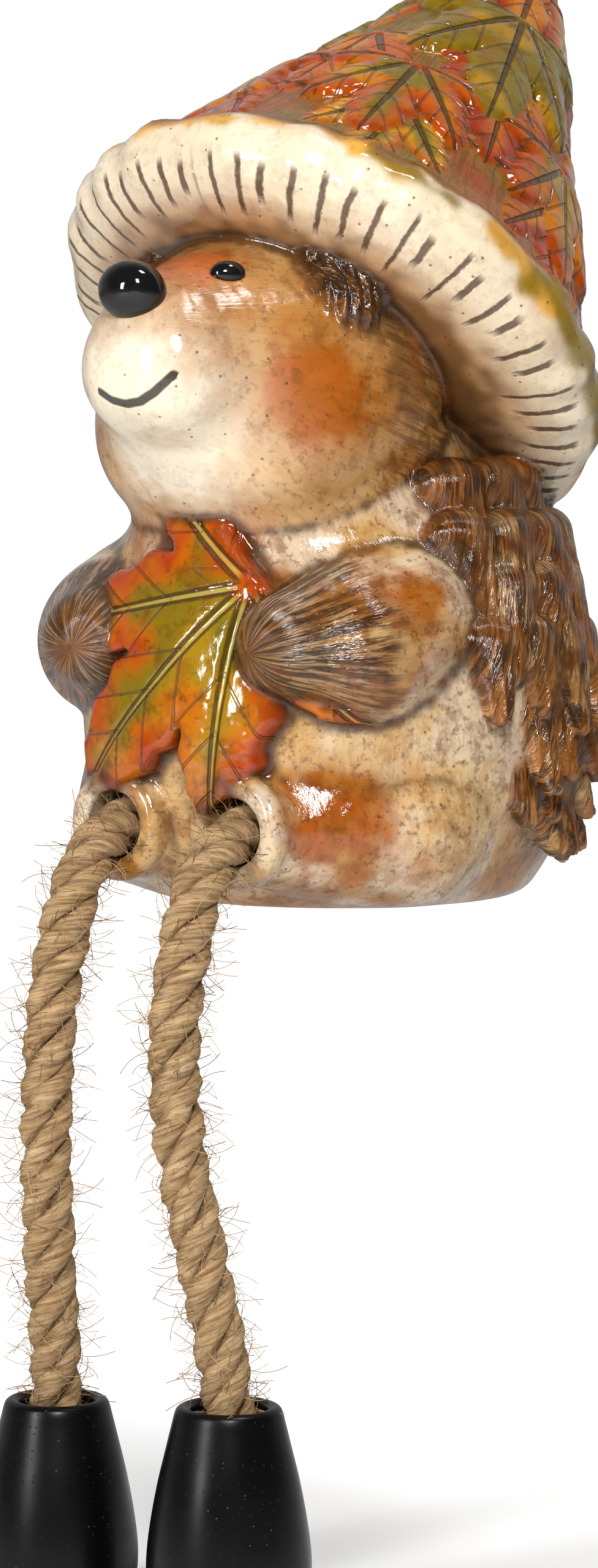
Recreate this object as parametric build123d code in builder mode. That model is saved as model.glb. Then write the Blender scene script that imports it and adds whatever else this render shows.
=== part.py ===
from build123d import *
import os
from math import asin, cos, degrees, pi, radians, sin, tan

os.makedirs("parts", exist_ok=True)

# Hedgehog shelf sitter, in millimetres. The origin is the middle of the flat seat, +Z is up,
# the face looks along -Y and the animal's left side is +X.

# Torso: a round body turned about an upright axis, from the flat seat to the neck
torso_centre_y = -4.5
seat_radius = 30.5
hip_height = 10.0
hip_radius = 36.6
belly_height = 36.0
belly_radius = 40.5
chest_height = 54.0
chest_radius = 36.0
neck_height = 68.0
neck_radius = 27.0
wall = 5.0
pour_hole_radius = 9.0
pour_hole_y = 16.0

# Haunches: rounded legs from the hip to the knee, with a hole for the rope
knee = (12.0, -38.5, 13.0)
knee_radius = 9.0
haunch_turn = 58.3
haunch_sink = 9.5
haunch_height = 13.5
haunch_radius = 14.5
leg_hole_radius = 5.3

# Head: a ball that tapers into a raised snout, set on the neck
head_y = -21.0
head_rise = 12.0
head_radius = 27.0
snout_length = 26.0
snout_radius = 12.0
snout_rise = 16.0
head_wall = 5.0

# Nose, eyes and ears, placed on the head
nose_radius = 5.3
nose_lift = 27.0
nose_proud = 0.8
eye_station = 26.0
eye_radius = 2.9
eye_sink = 1.5
eye_roll = 35.0
ear_radius = 7.5
ear_depth = 4.5
ear_turn = 72.0
ear_lift = 43.0

# Hat: a cone with a flared, rolled rim, leaning back from the head
hat_back = 16.0
hat_rise = 11.0
hat_tilt = 42.0
rim_radius = 46.0
rim_roll = 6.0
rim_underside = 9.0
mouth_radius = 24.0
crown_radius = 38.5
crown_start = 11.0
crown_length = 86.0
tip_radius = 5.0
hat_wall = 5.0

# Maple leaves: five lobes, each an angle from the midrib and a share of the leaf's length
leaf_lobes = ((-82, 0.58), (-36, 0.82), (0, 1.0), (36, 0.82), (82, 0.58))
leaf_teeth = ((0.64, -17), (0.8, -10), (1.0, 0), (0.8, 10), (0.64, 17))
leaf_notch = 0.46
leaf_stem = 0.12
hat_leaf_length = 25.0
low_leaf_turn = 30.0
high_leaf_turn = 120.0
hat_leaf_thickness = 1.8
low_leaf_count = 6
low_leaf_radius = 33.0
high_leaf_count = 3
high_leaf_radius = 21.5
held_leaf_length = 45.0
held_leaf_thickness = 3.6
held_leaf_x = 13.0
held_leaf_drop = 3.0
held_leaf_turn = -134.0

# Arms: from the shoulder to a round paw, set round the torso below the chest
shoulder_turn = 55.0
shoulder_sink = 7.7
shoulder_drop = 9.0
shoulder_radius = 12.7
paw_turn = 28.0
paw_proud = 2.9
paw_drop = 12.0
paw_radius = 8.2

# Quill tufts in staggered rows over the back
quill_rows = 7
quill_row_pitch = 8.2
quill_first_height = 11.5
quill_pitch = 10.6
quill_length = 9.0
quill_radius = 4.6
quill_tip_radius = 1.0
quill_span = 116.0
quill_low_span = 98.0
quill_lean = 14.0

# Rope legs, boots and glue
rope_radius = 4.0
knot_turn_radius = 4.4
knot_length = 9.0
hip_bend_height = -3.0
knee_bend_height = -36.0
boot_height = 34.0
boot_rim_radius = 8.3
boot_lip = 1.2
boot_bore_radius = 5.7
boot_bore_depth = 13.0
boot_belly_radius = 12.7
boot_belly_height = 9.5
boot_sole_radius = 10.5
rope_insert = 8.8
glue_below_rim = 2.0

# Rope routes from the knot inside the body, out of the knee and down into the boot
left_route = (
    (12.0, -29.5, 13.9),
    (12.0, -39.5, 13.7),
    (12.0, -49.5, 11.4),
    (12.0, -55.6, 3.8),
    (12.0, -58.8, -7.0),
    (11.7, -60.4, -20.0),
    (12.4, -59.8, -34.0),
    (14.2, -57.4, -49.0),
    (16.0, -54.8, -63.0),
    (17.0, -53.4, -74.4),
    (17.3, -52.9, -83.2),
)
right_route = (
    (-12.0, -29.5, 13.9),
    (-12.0, -39.5, 13.7),
    (-12.0, -49.5, 11.4),
    (-12.3, -55.2, 3.8),
    (-12.8, -58.4, -7.0),
    (-13.4, -60.2, -20.0),
    (-14.0, -60.4, -34.0),
    (-14.8, -59.0, -50.0),
    (-16.0, -56.4, -65.0),
    (-16.8, -54.7, -77.4),
    (-17.2, -54.0, -86.2),
)


torso_axis = Axis((0, torso_centre_y, 0), (0, 0, 1))


def torso_profile(growth, floor_height, roof_height):
    """Half outline of the torso, grown outwards from its skin."""
    seat = (seat_radius + growth, floor_height)
    hip = (hip_radius + growth, hip_height)
    belly = (belly_radius + growth, belly_height)
    chest = (chest_radius + growth, chest_height)
    neck = (neck_radius + growth, roof_height)
    with BuildSketch(Plane((0, torso_centre_y, 0), x_dir=(0, 1, 0), z_dir=(1, 0, 0))) as profile:
        with BuildLine():
            Polyline(neck, (0, roof_height), (0, floor_height), seat)
            ThreePointArc(seat, hip, belly)
            ThreePointArc(belly, chest, neck)
        make_face()
    return profile.sketch


def torso_radius_at(height):
    """Radius of the torso at a height, between the named rings."""
    rings = (
        (0, seat_radius),
        (hip_height, hip_radius),
        (belly_height, belly_radius),
        (chest_height, chest_radius),
        (neck_height, neck_radius),
    )
    for (low, low_radius), (high, high_radius) in zip(rings, rings[1:]):
        if low <= height <= high:
            return low_radius + (height - low) / (high - low) * (high_radius - low_radius)
    return neck_radius


def round_torso(turn, height, outset):
    """Point at a turn from the front, so far outside the torso's skin."""
    reach = torso_radius_at(height) + outset
    return Vector(reach * sin(radians(turn)), torso_centre_y - reach * cos(radians(turn)), height)


def half_oval(centre, axis, half_length, radius):
    """Half outline of a spheroid about an axis that isn't upright."""
    with BuildSketch(Plane(centre, x_dir=axis, z_dir=axis.cross(Vector(0, 0, 1)))) as oval:
        with BuildLine():
            EllipticalCenterArc((0, 0), half_length, radius, 0, arc_size=180)
            Line((-half_length, 0), (half_length, 0))
        make_face()
    return oval.sketch


def maple_leaf(plane, length):
    """Five-lobed leaf that points along the plane's X from its stem."""
    points = [(0, -leaf_stem * length)]
    for index, (angle, share) in enumerate(leaf_lobes):
        reach = share * length
        for part, offset in leaf_teeth:
            turn = radians(angle + offset)
            points.append((part * reach * cos(turn), part * reach * sin(turn)))
        if index + 1 < len(leaf_lobes):
            turn = radians((angle + leaf_lobes[index + 1][0]) / 2)
            points.append((leaf_notch * length * cos(turn), leaf_notch * length * sin(turn)))
    points.append((0, leaf_stem * length))
    with BuildSketch(plane) as leaf:
        with BuildLine():
            Polyline(*points, close=True)
        make_face()
    return leaf.sketch


def capsule(start, end, start_radius, end_radius):
    """Half outline of two balls joined by the cone that touches both."""
    axis = end - start
    span = axis.length
    lean = asin((start_radius - end_radius) / span)
    back_turn = radians(135) - lean / 2
    front_turn = radians(45) - lean / 2
    back_touch = (start_radius * sin(lean), start_radius * cos(lean))
    front_touch = (span + end_radius * sin(lean), end_radius * cos(lean))
    back_round = (start_radius * cos(back_turn), start_radius * sin(back_turn))
    front_round = (span + end_radius * cos(front_turn), end_radius * sin(front_turn))
    with BuildSketch(Plane(start, x_dir=axis, z_dir=Vector(0, 0, 1).cross(axis))) as outline:
        with BuildLine():
            ThreePointArc((-start_radius, 0), back_round, back_touch)
            Line(back_touch, front_touch)
            ThreePointArc(front_touch, front_round, (span + end_radius, 0))
            Line((span + end_radius, 0), (-start_radius, 0))
        make_face()
    return outline.sketch


# Solid form of the body, used to seat everything that lies on it
with BuildPart() as body_form:
    revolve(torso_profile(0, 0, neck_height), axis=torso_axis)
    for side in (-1, 1):
        haunch_centre = round_torso(side * haunch_turn, haunch_height, -haunch_sink)
        knee_centre = Vector(side * knee[0], knee[1], knee[2])
        haunch_outline = capsule(haunch_centre, knee_centre, haunch_radius, knee_radius)
        revolve(haunch_outline, axis=Axis(haunch_centre, knee_centre - haunch_centre))
    with BuildSketch(Plane.XY):
        Rectangle(4 * belly_radius, 4 * belly_radius)
    extrude(amount=-2 * haunch_radius, mode=Mode.SUBTRACT)

# Body casting: hollow, with a pour hole in the seat and a leg hole in each knee
with BuildPart() as body_casting:
    add(body_form.part)
    revolve(torso_profile(-wall, wall, neck_height - wall), axis=torso_axis, mode=Mode.SUBTRACT)
    with BuildSketch(Plane.XY):
        with Locations((0, pour_hole_y)):
            Circle(pour_hole_radius)
    extrude(amount=2 * wall, mode=Mode.SUBTRACT)
    with BuildSketch(Plane.XZ.offset(knee_radius - knee[1])):
        with Locations((-knee[0], knee[2]), (knee[0], knee[2])):
            Circle(leg_hole_radius)
    extrude(amount=-(knee_radius - knee[1] + torso_centre_y - hip_radius / 2), mode=Mode.SUBTRACT)
body_casting.part.label = "body_casting"
export_step(body_casting.part, "parts/body_casting.step")

# Head: hollow, cut to sit on the body
face_axis = Vector(0, -cos(radians(snout_rise)), sin(radians(snout_rise)))
face_up = Vector(0, sin(radians(snout_rise)), cos(radians(snout_rise)))
head_centre = Vector(0, head_y, neck_height + head_rise)
snout_centre = head_centre + face_axis * snout_length
head_axis = Axis(head_centre, face_axis)
with BuildPart() as head_form:
    revolve(capsule(head_centre, snout_centre, head_radius, snout_radius), axis=head_axis)

with BuildPart() as head:
    add(head_form.part)
    head_cavity = capsule(head_centre, snout_centre, head_radius - head_wall, snout_radius - head_wall)
    revolve(head_cavity, axis=head_axis, mode=Mode.SUBTRACT)
    add(body_form.part, mode=Mode.SUBTRACT)
head.part.label = "head"
export_step(head.part, "parts/head.step")

# Hat: a flared cone with a rolled rim, turned about the tilted hat axis
hat_axis = Vector(0, sin(radians(hat_tilt)), cos(radians(hat_tilt)))
hat_centre = head_centre + Vector(0, hat_back, hat_rise)
hat_down_slope = Vector(0, cos(radians(hat_tilt)), -sin(radians(hat_tilt)))
hat_plane = Plane(hat_centre, x_dir=hat_down_slope, z_dir=(1, 0, 0))
crown_top = crown_length - tip_radius


def hat_profile(growth):
    """Half outline of the closed hat, with the crown grown outwards."""
    flare = (rim_radius - 0.2 * rim_roll, 0.5 * rim_roll + growth)
    with BuildSketch(hat_plane) as profile:
        with BuildLine():
            ThreePointArc(
                (0, crown_length + growth),
                (0.72 * (tip_radius + growth), crown_length + growth - 0.32 * tip_radius),
                (tip_radius + growth, crown_top),
            )
            Line((tip_radius + growth, crown_top), (crown_radius + growth, crown_start))
            ThreePointArc(
                (crown_radius + growth, crown_start),
                (0.62 * crown_radius + 0.38 * rim_radius + 0.5 * growth, 0.45 * crown_start + growth),
                flare,
            )
            ThreePointArc(flare, (rim_radius, -0.4 * rim_underside), (rim_radius - rim_roll, -rim_underside))
            Line((rim_radius - rim_roll, -rim_underside), (0, -rim_underside))
            Line((0, -rim_underside), (0, crown_length + growth))
        make_face()
    return profile.sketch


with BuildPart() as hat_form:
    revolve(hat_profile(0), axis=Axis(hat_centre, hat_axis))

with BuildPart() as hat:
    add(hat_form.part)
    with BuildSketch(hat_plane):
        with BuildLine():
            Polyline(
                (0, -rim_underside),
                (mouth_radius, -rim_underside),
                (mouth_radius, crown_start),
                (tip_radius, crown_top - 2 * hat_wall),
                (0, crown_top - 2 * hat_wall),
                close=True,
            )
        make_face()
    revolve(axis=Axis(hat_centre, hat_axis), mode=Mode.SUBTRACT)
    add(head_form.part, mode=Mode.SUBTRACT)
    add(body_form.part, mode=Mode.SUBTRACT)
hat.part.label = "hat"
export_step(hat.part, "parts/hat.step")

# Nose: a round bead on the upper front of the snout
nose_aim = face_axis * cos(radians(nose_lift)) + face_up * sin(radians(nose_lift))
nose_centre = snout_centre + nose_aim * (snout_radius + nose_proud)
across = Vector(1, 0, 0)
with BuildPart() as nose:
    with Locations(nose_centre):
        Sphere(nose_radius)
    add(head_form.part, mode=Mode.SUBTRACT)
nose.part.label = "nose"
export_step(nose.part, "parts/nose.step")

# Eyes: low domes that face squarely out of both sides of the snout's taper
taper = asin((head_radius - snout_radius) / snout_length)
eye_reach = (head_radius - eye_station * sin(taper)) / cos(taper)
for side, name in ((1, "left"), (-1, "right")):
    sideways = face_up * cos(radians(eye_roll)) + across * (side * sin(radians(eye_roll)))
    gaze = face_axis * sin(taper) + sideways * cos(taper)
    eye_centre = head_centre + face_axis * eye_station + sideways * eye_reach
    with BuildPart() as eye:
        with Locations(eye_centre - gaze * eye_sink):
            Sphere(eye_radius)
        add(head_form.part, mode=Mode.SUBTRACT)
    eye.part.label = f"{name}_eye"
    export_step(eye.part, f"parts/{name}_eye.step")

# Ears: flattened tufts between the cheeks and the hat
for side, name in ((1, "left"), (-1, "right")):
    outward = Vector(
        side * sin(radians(ear_turn)) * cos(radians(ear_lift)),
        -cos(radians(ear_turn)) * cos(radians(ear_lift)),
        sin(radians(ear_lift)),
    )
    ear_centre = head_centre + outward * head_radius
    with BuildPart() as ear:
        revolve(half_oval(ear_centre, outward, ear_depth, ear_radius), axis=Axis(ear_centre, outward))
        add(head_form.part, mode=Mode.SUBTRACT)
        add(hat_form.part, mode=Mode.SUBTRACT)
    ear.part.label = f"{name}_ear"
    export_step(ear.part, f"parts/{name}_ear.step")

# Leaf sprigs: maple leaves laid over the crown in two rings, tips towards the rim
with BuildPart() as leaf_skin:
    revolve(hat_profile(hat_leaf_thickness), axis=Axis(hat_centre, hat_axis))

leaf_rings = (
    (low_leaf_count, low_leaf_radius, low_leaf_turn),
    (high_leaf_count, high_leaf_radius, high_leaf_turn),
)
crown_slope = Vector(crown_radius - tip_radius, crown_start - crown_top).normalized()
with BuildPart() as hat_leaves:
    for count, ring_radius, first_turn in leaf_rings:
        share = (crown_radius - ring_radius) / (crown_radius - tip_radius)
        height = crown_start + share * (crown_top - crown_start)
        for index in range(count):
            radial = hat_down_slope.rotate(Axis((0, 0, 0), hat_axis), first_turn + 360 * index / count)
            down = radial * crown_slope.X + hat_axis * crown_slope.Y
            outward = radial * -crown_slope.Y + hat_axis * crown_slope.X
            stem = hat_centre + radial * ring_radius + hat_axis * height - down * (0.4 * hat_leaf_length)
            leaf = maple_leaf(Plane(stem, x_dir=down, z_dir=outward), hat_leaf_length)
            extrude(leaf, amount=3 * hat_wall, both=True)
    add(leaf_skin.part, mode=Mode.INTERSECT)
    add(hat_form.part, mode=Mode.SUBTRACT)
hat_leaves.part.label = "hat_leaves"
export_step(hat_leaves.part, "parts/hat_leaves.step")

# Held leaf: one large maple leaf that follows the belly between the paws
leaf_turn = radians(held_leaf_turn)
held_leaf_plane = Plane(
    (held_leaf_x, torso_centre_y, chest_height - held_leaf_drop),
    x_dir=(cos(leaf_turn), 0, sin(leaf_turn)),
    z_dir=(0, -1, 0),
)
with BuildPart() as held_leaf:
    revolve(torso_profile(held_leaf_thickness, 0, neck_height), axis=torso_axis)
    extrude(maple_leaf(held_leaf_plane, held_leaf_length), amount=2 * belly_radius, mode=Mode.INTERSECT)
    add(body_form.part, mode=Mode.SUBTRACT)
    add(head_form.part, mode=Mode.SUBTRACT)
held_leaf.part.label = "held_leaf"
export_step(held_leaf.part, "parts/held_leaf.step")

# Arms: tapering from the shoulder to the round paw, seated on the body and the leaf
arms = []
for side, name in ((1, "left"), (-1, "right")):
    shoulder_centre = round_torso(side * shoulder_turn, chest_height - shoulder_drop, -shoulder_sink)
    paw_centre = round_torso(side * paw_turn, chest_height - paw_drop, paw_proud)
    arm_outline = capsule(shoulder_centre, paw_centre, shoulder_radius, paw_radius)
    with BuildPart() as arm:
        revolve(arm_outline, axis=Axis(shoulder_centre, paw_centre - shoulder_centre))
        for neighbour in (body_form, head_form, hat_form, held_leaf):
            add(neighbour.part, mode=Mode.SUBTRACT)
    arm.part.label = f"{name}_arm"
    export_step(arm.part, f"parts/{name}_arm.step")
    arms.append(arm.part)

# Quill tufts: blunt cones that hang down over the back in staggered rows
quill_places = []
for row in range(quill_rows):
    height = quill_first_height + row * quill_row_pitch
    radius = torso_radius_at(height)
    step = quill_pitch / radians(1) / radius
    span = quill_low_span + (quill_span - quill_low_span) * row / (quill_rows - 1)
    count = int(2 * span / step)
    for index in range(count):
        turn = radians((index - 0.5 * (count - 1) + 0.5 * (row % 2)) * step)
        outward = Vector(sin(turn), cos(turn), 0)
        root = outward * radius + Vector(0, torso_centre_y, height)
        hang = outward * sin(radians(quill_lean)) - Vector(0, 0, cos(radians(quill_lean)))
        quill_places.append(Location(Plane(root, x_dir=outward.cross(hang), z_dir=hang)))
with BuildPart() as back_quills:
    with Locations(*quill_places):
        Cone(quill_radius, quill_tip_radius, quill_length)
    for neighbour in (body_form.part, hat_form.part, *arms):
        add(neighbour, mode=Mode.SUBTRACT)
back_quills.part.label = "back_quills"
export_step(back_quills.part, "parts/back_quills.step")


def bend_radii(points):
    """Largest tangent arc at each corner of a rope route."""
    radii = []
    for before, corner, after in zip(points, points[1:], points[2:]):
        run_in = Vector(corner) - Vector(before)
        run_out = Vector(after) - Vector(corner)
        half_turn = radians(run_in.get_angle(run_out) / 2)
        radii.append(0.45 * min(run_in.length, run_out.length) / tan(half_turn))
    return radii


# Legs: a rope knotted inside the body, glued into a turned boot that hangs plumb
for name, route in (("left", left_route), ("right", right_route)):
    radii = bend_radii(route)
    with BuildPart() as rope:
        with BuildLine() as line:
            FilletPolyline(*route, radius=radii)
        with BuildSketch(Plane(line.line @ 0, z_dir=line.line % 0)):
            Circle(rope_radius)
        sweep()
    length = line.wire().length
    print(name, "rope radii", [round(radius, 1) for radius in radii], "length", round(length, 1))
    section = pi * rope_radius**2
    print(name, "rope volume", round(rope.part.volume, 1), "section times length", round(section * length, 1))

    hip_plane = Plane.XY.offset(hip_bend_height)
    knee_plane = Plane.XY.offset(knee_bend_height)
    with BuildPart() as rope_upper:
        add(rope.part)
        split(bisect_by=hip_plane, keep=Keep.TOP)
    rope_upper.part.label = f"{name}_rope_upper"
    export_step(rope_upper.part, f"parts/{name}_rope_upper.step")
    with BuildPart() as rope_middle:
        add(rope.part)
        split(bisect_by=hip_plane, keep=Keep.BOTTOM)
        split(bisect_by=knee_plane, keep=Keep.TOP)
    rope_middle.part.label = f"{name}_rope_middle"
    export_step(rope_middle.part, f"parts/{name}_rope_middle.step")
    with BuildPart() as rope_lower:
        add(rope.part)
        split(bisect_by=knee_plane, keep=Keep.BOTTOM)
    rope_lower.part.label = f"{name}_rope_lower"
    export_step(rope_lower.part, f"parts/{name}_rope_lower.step")

    knot_plane = Plane(route[0], z_dir=Vector(route[0]) - Vector(route[1]))
    with BuildPart() as knot:
        with BuildSketch(knot_plane):
            Circle(rope_radius)
        extrude(amount=knot_length)
        with Locations(knot_plane.offset(rope_radius).location):
            Torus(knot_turn_radius, rope_radius)
    knot.part.label = f"{name}_knot"
    export_step(knot.part, f"parts/{name}_knot.step")

    rope_end = Vector(route[-1])
    up_rope = (Vector(route[-2]) - rope_end).normalized()
    rim_centre = rope_end + up_rope * rope_insert
    boot_axis = Axis(rim_centre, (0, 0, 1))
    boot_plane = Plane(rim_centre, x_dir=(1, 0, 0), z_dir=(0, -1, 0))
    with BuildPart() as boot:
        with BuildSketch(boot_plane):
            with BuildLine():
                Polyline(
                    (boot_bore_radius, -boot_lip),
                    (boot_bore_radius, -boot_bore_depth),
                    (0, -boot_bore_depth),
                    (0, -boot_height),
                    (boot_sole_radius, -boot_height),
                )
                Spline(
                    (boot_sole_radius, -boot_height),
                    (boot_belly_radius, boot_belly_height - boot_height),
                    (boot_rim_radius, -boot_lip),
                    tangents=((1, 0.35), (-0.12, 1)),
                )
                ThreePointArc(
                    (boot_rim_radius, -boot_lip),
                    (0.5 * (boot_rim_radius + boot_bore_radius), 0),
                    (boot_bore_radius, -boot_lip),
                )
            make_face()
        revolve(axis=boot_axis)
    boot.part.label = f"{name}_boot"
    export_step(boot.part, f"parts/{name}_boot.step")

    with BuildPart() as glue:
        with BuildSketch(boot_plane):
            with BuildLine():
                Polyline(
                    (0, -boot_bore_depth),
                    (boot_bore_radius, -boot_bore_depth),
                    (boot_bore_radius, -glue_below_rim),
                    (0, -glue_below_rim),
                    close=True,
                )
            make_face()
        revolve(axis=boot_axis)
        add(rope.part, mode=Mode.SUBTRACT)
    glue.part.label = f"{name}_glue"
    export_step(glue.part, f"parts/{name}_glue.step")
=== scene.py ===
import math

import bpy
import numpy as np
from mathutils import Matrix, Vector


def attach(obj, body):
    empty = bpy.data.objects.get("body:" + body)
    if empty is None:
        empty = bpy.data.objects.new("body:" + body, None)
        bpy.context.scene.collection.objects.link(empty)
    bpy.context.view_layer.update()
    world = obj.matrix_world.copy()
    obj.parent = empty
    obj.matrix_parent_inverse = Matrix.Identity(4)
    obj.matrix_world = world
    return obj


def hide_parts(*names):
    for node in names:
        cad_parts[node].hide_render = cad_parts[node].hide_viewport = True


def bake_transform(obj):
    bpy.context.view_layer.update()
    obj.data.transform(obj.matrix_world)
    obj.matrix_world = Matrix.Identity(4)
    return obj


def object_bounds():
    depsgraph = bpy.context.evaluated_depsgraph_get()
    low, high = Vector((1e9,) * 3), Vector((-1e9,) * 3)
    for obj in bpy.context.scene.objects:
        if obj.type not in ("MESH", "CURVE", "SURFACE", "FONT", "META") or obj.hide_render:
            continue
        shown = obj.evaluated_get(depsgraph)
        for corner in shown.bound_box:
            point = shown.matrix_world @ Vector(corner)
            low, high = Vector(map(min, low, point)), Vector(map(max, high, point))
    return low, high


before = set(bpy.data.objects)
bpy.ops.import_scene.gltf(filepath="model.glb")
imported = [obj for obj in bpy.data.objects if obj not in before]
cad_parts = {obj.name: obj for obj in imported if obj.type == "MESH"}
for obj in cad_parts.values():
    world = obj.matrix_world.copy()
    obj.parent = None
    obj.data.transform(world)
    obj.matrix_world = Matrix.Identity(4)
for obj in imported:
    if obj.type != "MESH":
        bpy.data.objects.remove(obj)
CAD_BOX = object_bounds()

import openvdb
from mathutils import Vector

bl_info = {
    "name": "Hedgehog Shelf Sitter",
    "version": (1, 0, 0),
    "blender": (4, 5, 0),
    "location": "3D View > Sidebar > Sitter",
    "description": "Builds the look of a glazed hedgehog figurine with rope legs",
    "category": "Object",
}

MM = 0.001

# Rope routes from the knot to the boot, in metres, as in the CAD model
ROUTES = {
    "left": (
        (0.0120, -0.0295, 0.0139),
        (0.0120, -0.0395, 0.0137),
        (0.0120, -0.0495, 0.0114),
        (0.0120, -0.0556, 0.0038),
        (0.0120, -0.0588, -0.0070),
        (0.0117, -0.0604, -0.0200),
        (0.0124, -0.0598, -0.0340),
        (0.0142, -0.0574, -0.0490),
        (0.0160, -0.0548, -0.0630),
        (0.0170, -0.0534, -0.0744),
        (0.0173, -0.0529, -0.0832),
    ),
    "right": (
        (-0.0120, -0.0295, 0.0139),
        (-0.0120, -0.0395, 0.0137),
        (-0.0120, -0.0495, 0.0114),
        (-0.0123, -0.0552, 0.0038),
        (-0.0128, -0.0584, -0.0070),
        (-0.0134, -0.0602, -0.0200),
        (-0.0140, -0.0604, -0.0340),
        (-0.0148, -0.0590, -0.0500),
        (-0.0160, -0.0564, -0.0650),
        (-0.0168, -0.0547, -0.0774),
        (-0.0172, -0.0540, -0.0862),
    ),
}
# In metres: where a rope leaves the body, how far forward its bends lie, where its two stretches meet,
# the heights of each bend, and the step along it
LEG_EXIT_Y = -0.046
SPLIT_HEIGHT = -0.0200
HIP_BLEND = (0.006, -0.014)
KNEE_BLEND = (-0.026, -0.046)
ROPE_STEP = 0.0005
# Depth of the rope in the boot's bore, in millimetres
ROPE_INSERT = 8.8
# The knot inside the body: its length, the place of its turn and the turn's radius, in metres
KNOT_LENGTH = 0.009
KNOT_OFFSET = 0.004
KNOT_TURN = 0.0044
# Strands: how far out they lie and how thick they are, as shares of the rope's radius, and their yarns
STRANDS = 3
STRAND_SIDES = 18
STRAND_OFFSET = 0.50
STRAND_RADIUS = 0.53
YARNS = 7
YARN_RELIEF = 0.08
YARN_LAY = 0.5
GRAIN_LAY = 0.8
GRAIN_RADIUS = 2.4
GRAIN_GAP = 11
# Unevenness of a strand: places along the rope and how much they differ, in turn and in thickness
ROPE_SEED = 5
WANDER_PLACES, WANDER = 40, 0.05
SWELL_PLACES, SWELL = 60, 0.035
# A loose fibre of unit length, its thickness in metres, its lean in radians and its shortest share
FIBRE_CURVE = {"Start": (0, 0, -0.04), "Middle": (0.12, 0.1, 0.45), "End": (0.62, -0.05, 0.72)}
FIBRE_THICKNESS = 0.00007
FIBRE_LEAN = 0.7
FIBRE_SHORTEST = 0.25
FIBRE_SEED = 3
# The Mix node's colour sockets
MIX_FACTOR, MIX_FIRST, MIX_SECOND = 0, 6, 7
MIX_RESULT = 2


def link(name, mesh):
    """An object for a mesh, in the scene and at the origin."""
    obj = bpy.data.objects.new(name, mesh)
    bpy.context.scene.collection.objects.link(obj)
    return obj


def mesh_object(name, points, faces, material, smooth=True):
    """A mesh object from points in millimetres."""
    mesh = bpy.data.meshes.new(name)
    mesh.from_pydata((np.asarray(points) * MM).tolist(), [], [list(face) for face in faces])
    mesh.validate()
    mesh.materials.append(material)
    if smooth:
        mesh.shade_smooth()
    return link(name, mesh)


def add_vectors(mesh, name, values):
    """A vector attribute on a mesh's points."""
    layer = mesh.attributes.new(name, "FLOAT_VECTOR", "POINT")
    layer.data.foreach_set("vector", np.asarray(values, np.float32).ravel())


def add_floats(mesh, name, values):
    """A number attribute on a mesh's points."""
    layer = mesh.attributes.new(name, "FLOAT", "POINT")
    layer.data.foreach_set("value", np.asarray(values, np.float32).ravel())


class Sock:
    """A shader socket that takes arithmetic."""

    def __init__(self, tree, socket):
        self.tree = tree
        self.socket = socket

    def math(self, operation, *others):
        """A Math node's result."""
        sockets = dict(enumerate((self, *others)))
        node = add_node(self.tree, "ShaderNodeMath", {"operation": operation}, sockets)
        return Sock(self.tree, node.outputs[0])

    def __add__(self, other):
        return self.math("ADD", other)

    def __sub__(self, other):
        return self.math("SUBTRACT", other)

    def __mul__(self, other):
        return self.math("MULTIPLY", other)

    def __truediv__(self, other):
        return self.math("DIVIDE", other)

    def __radd__(self, other):
        return self.math("ADD", other)

    def __rmul__(self, other):
        return self.math("MULTIPLY", other)

    def __rsub__(self, other):
        return (self * -1.0) + other

    def step(self, low, high):
        """0 below low, 1 above high, smooth between."""
        sockets = {"Value": self, "From Min": low, "From Max": high}
        node = add_node(self.tree, "ShaderNodeMapRange", {"interpolation_type": "SMOOTHSTEP"}, sockets)
        return Sock(self.tree, node.outputs["Result"])

    def fit(self, low, high, to_low, to_high):
        """Linear change of range, clamped."""
        sockets = {"Value": self, "From Min": low, "From Max": high, "To Min": to_low, "To Max": to_high}
        return Sock(self.tree, add_node(self.tree, "ShaderNodeMapRange", {}, sockets).outputs["Result"])


def plug(tree, value, target):
    """Links a socket, or sets a constant."""
    if isinstance(value, Sock):
        value = value.socket
    if isinstance(value, bpy.types.NodeSocket):
        tree.links.new(value, target)
    else:
        target.default_value = value


def add_node(tree, kind, settings, sockets):
    """A node of a kind: its settings are set first, then its sockets' values or links."""
    node = tree.nodes.new(kind)
    for name, value in settings.items():
        setattr(node, name, value)
    for key, value in sockets.items():
        plug(tree, value, node.inputs[key])
    return node


def mixed(tree, share, first, second):
    """Colour between two, by a share."""
    ends = [value if isinstance(value, Sock) else (*value, 1.0) for value in (first, second)]
    sockets = {MIX_FACTOR: share, MIX_FIRST: ends[0], MIX_SECOND: ends[1]}
    return Sock(tree, add_node(tree, "ShaderNodeMix", {"data_type": "RGBA"}, sockets).outputs[MIX_RESULT])


def attribute(tree, name, output="Fac"):
    """A mesh attribute as a socket."""
    return Sock(tree, add_node(tree, "ShaderNodeAttribute", {"attribute_name": name}, {}).outputs[output])


def coordinates(tree, output="Object"):
    """Texture coordinates as a socket."""
    return Sock(tree, add_node(tree, "ShaderNodeTexCoord", {}, {}).outputs[output])


def vector_maths(tree, operation, *vectors, output=0):
    """A Vector Math node's result."""
    node = add_node(tree, "ShaderNodeVectorMath", {"operation": operation}, dict(enumerate(vectors)))
    return Sock(tree, node.outputs[output])


def stretched(tree, vector, scale):
    """A vector scaled along its axes."""
    return vector_maths(tree, "MULTIPLY", vector, scale)


def split_up(tree, vector):
    """A vector's three numbers."""
    node = add_node(tree, "ShaderNodeSeparateXYZ", {}, {0: vector})
    return [Sock(tree, output) for output in node.outputs]


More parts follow.
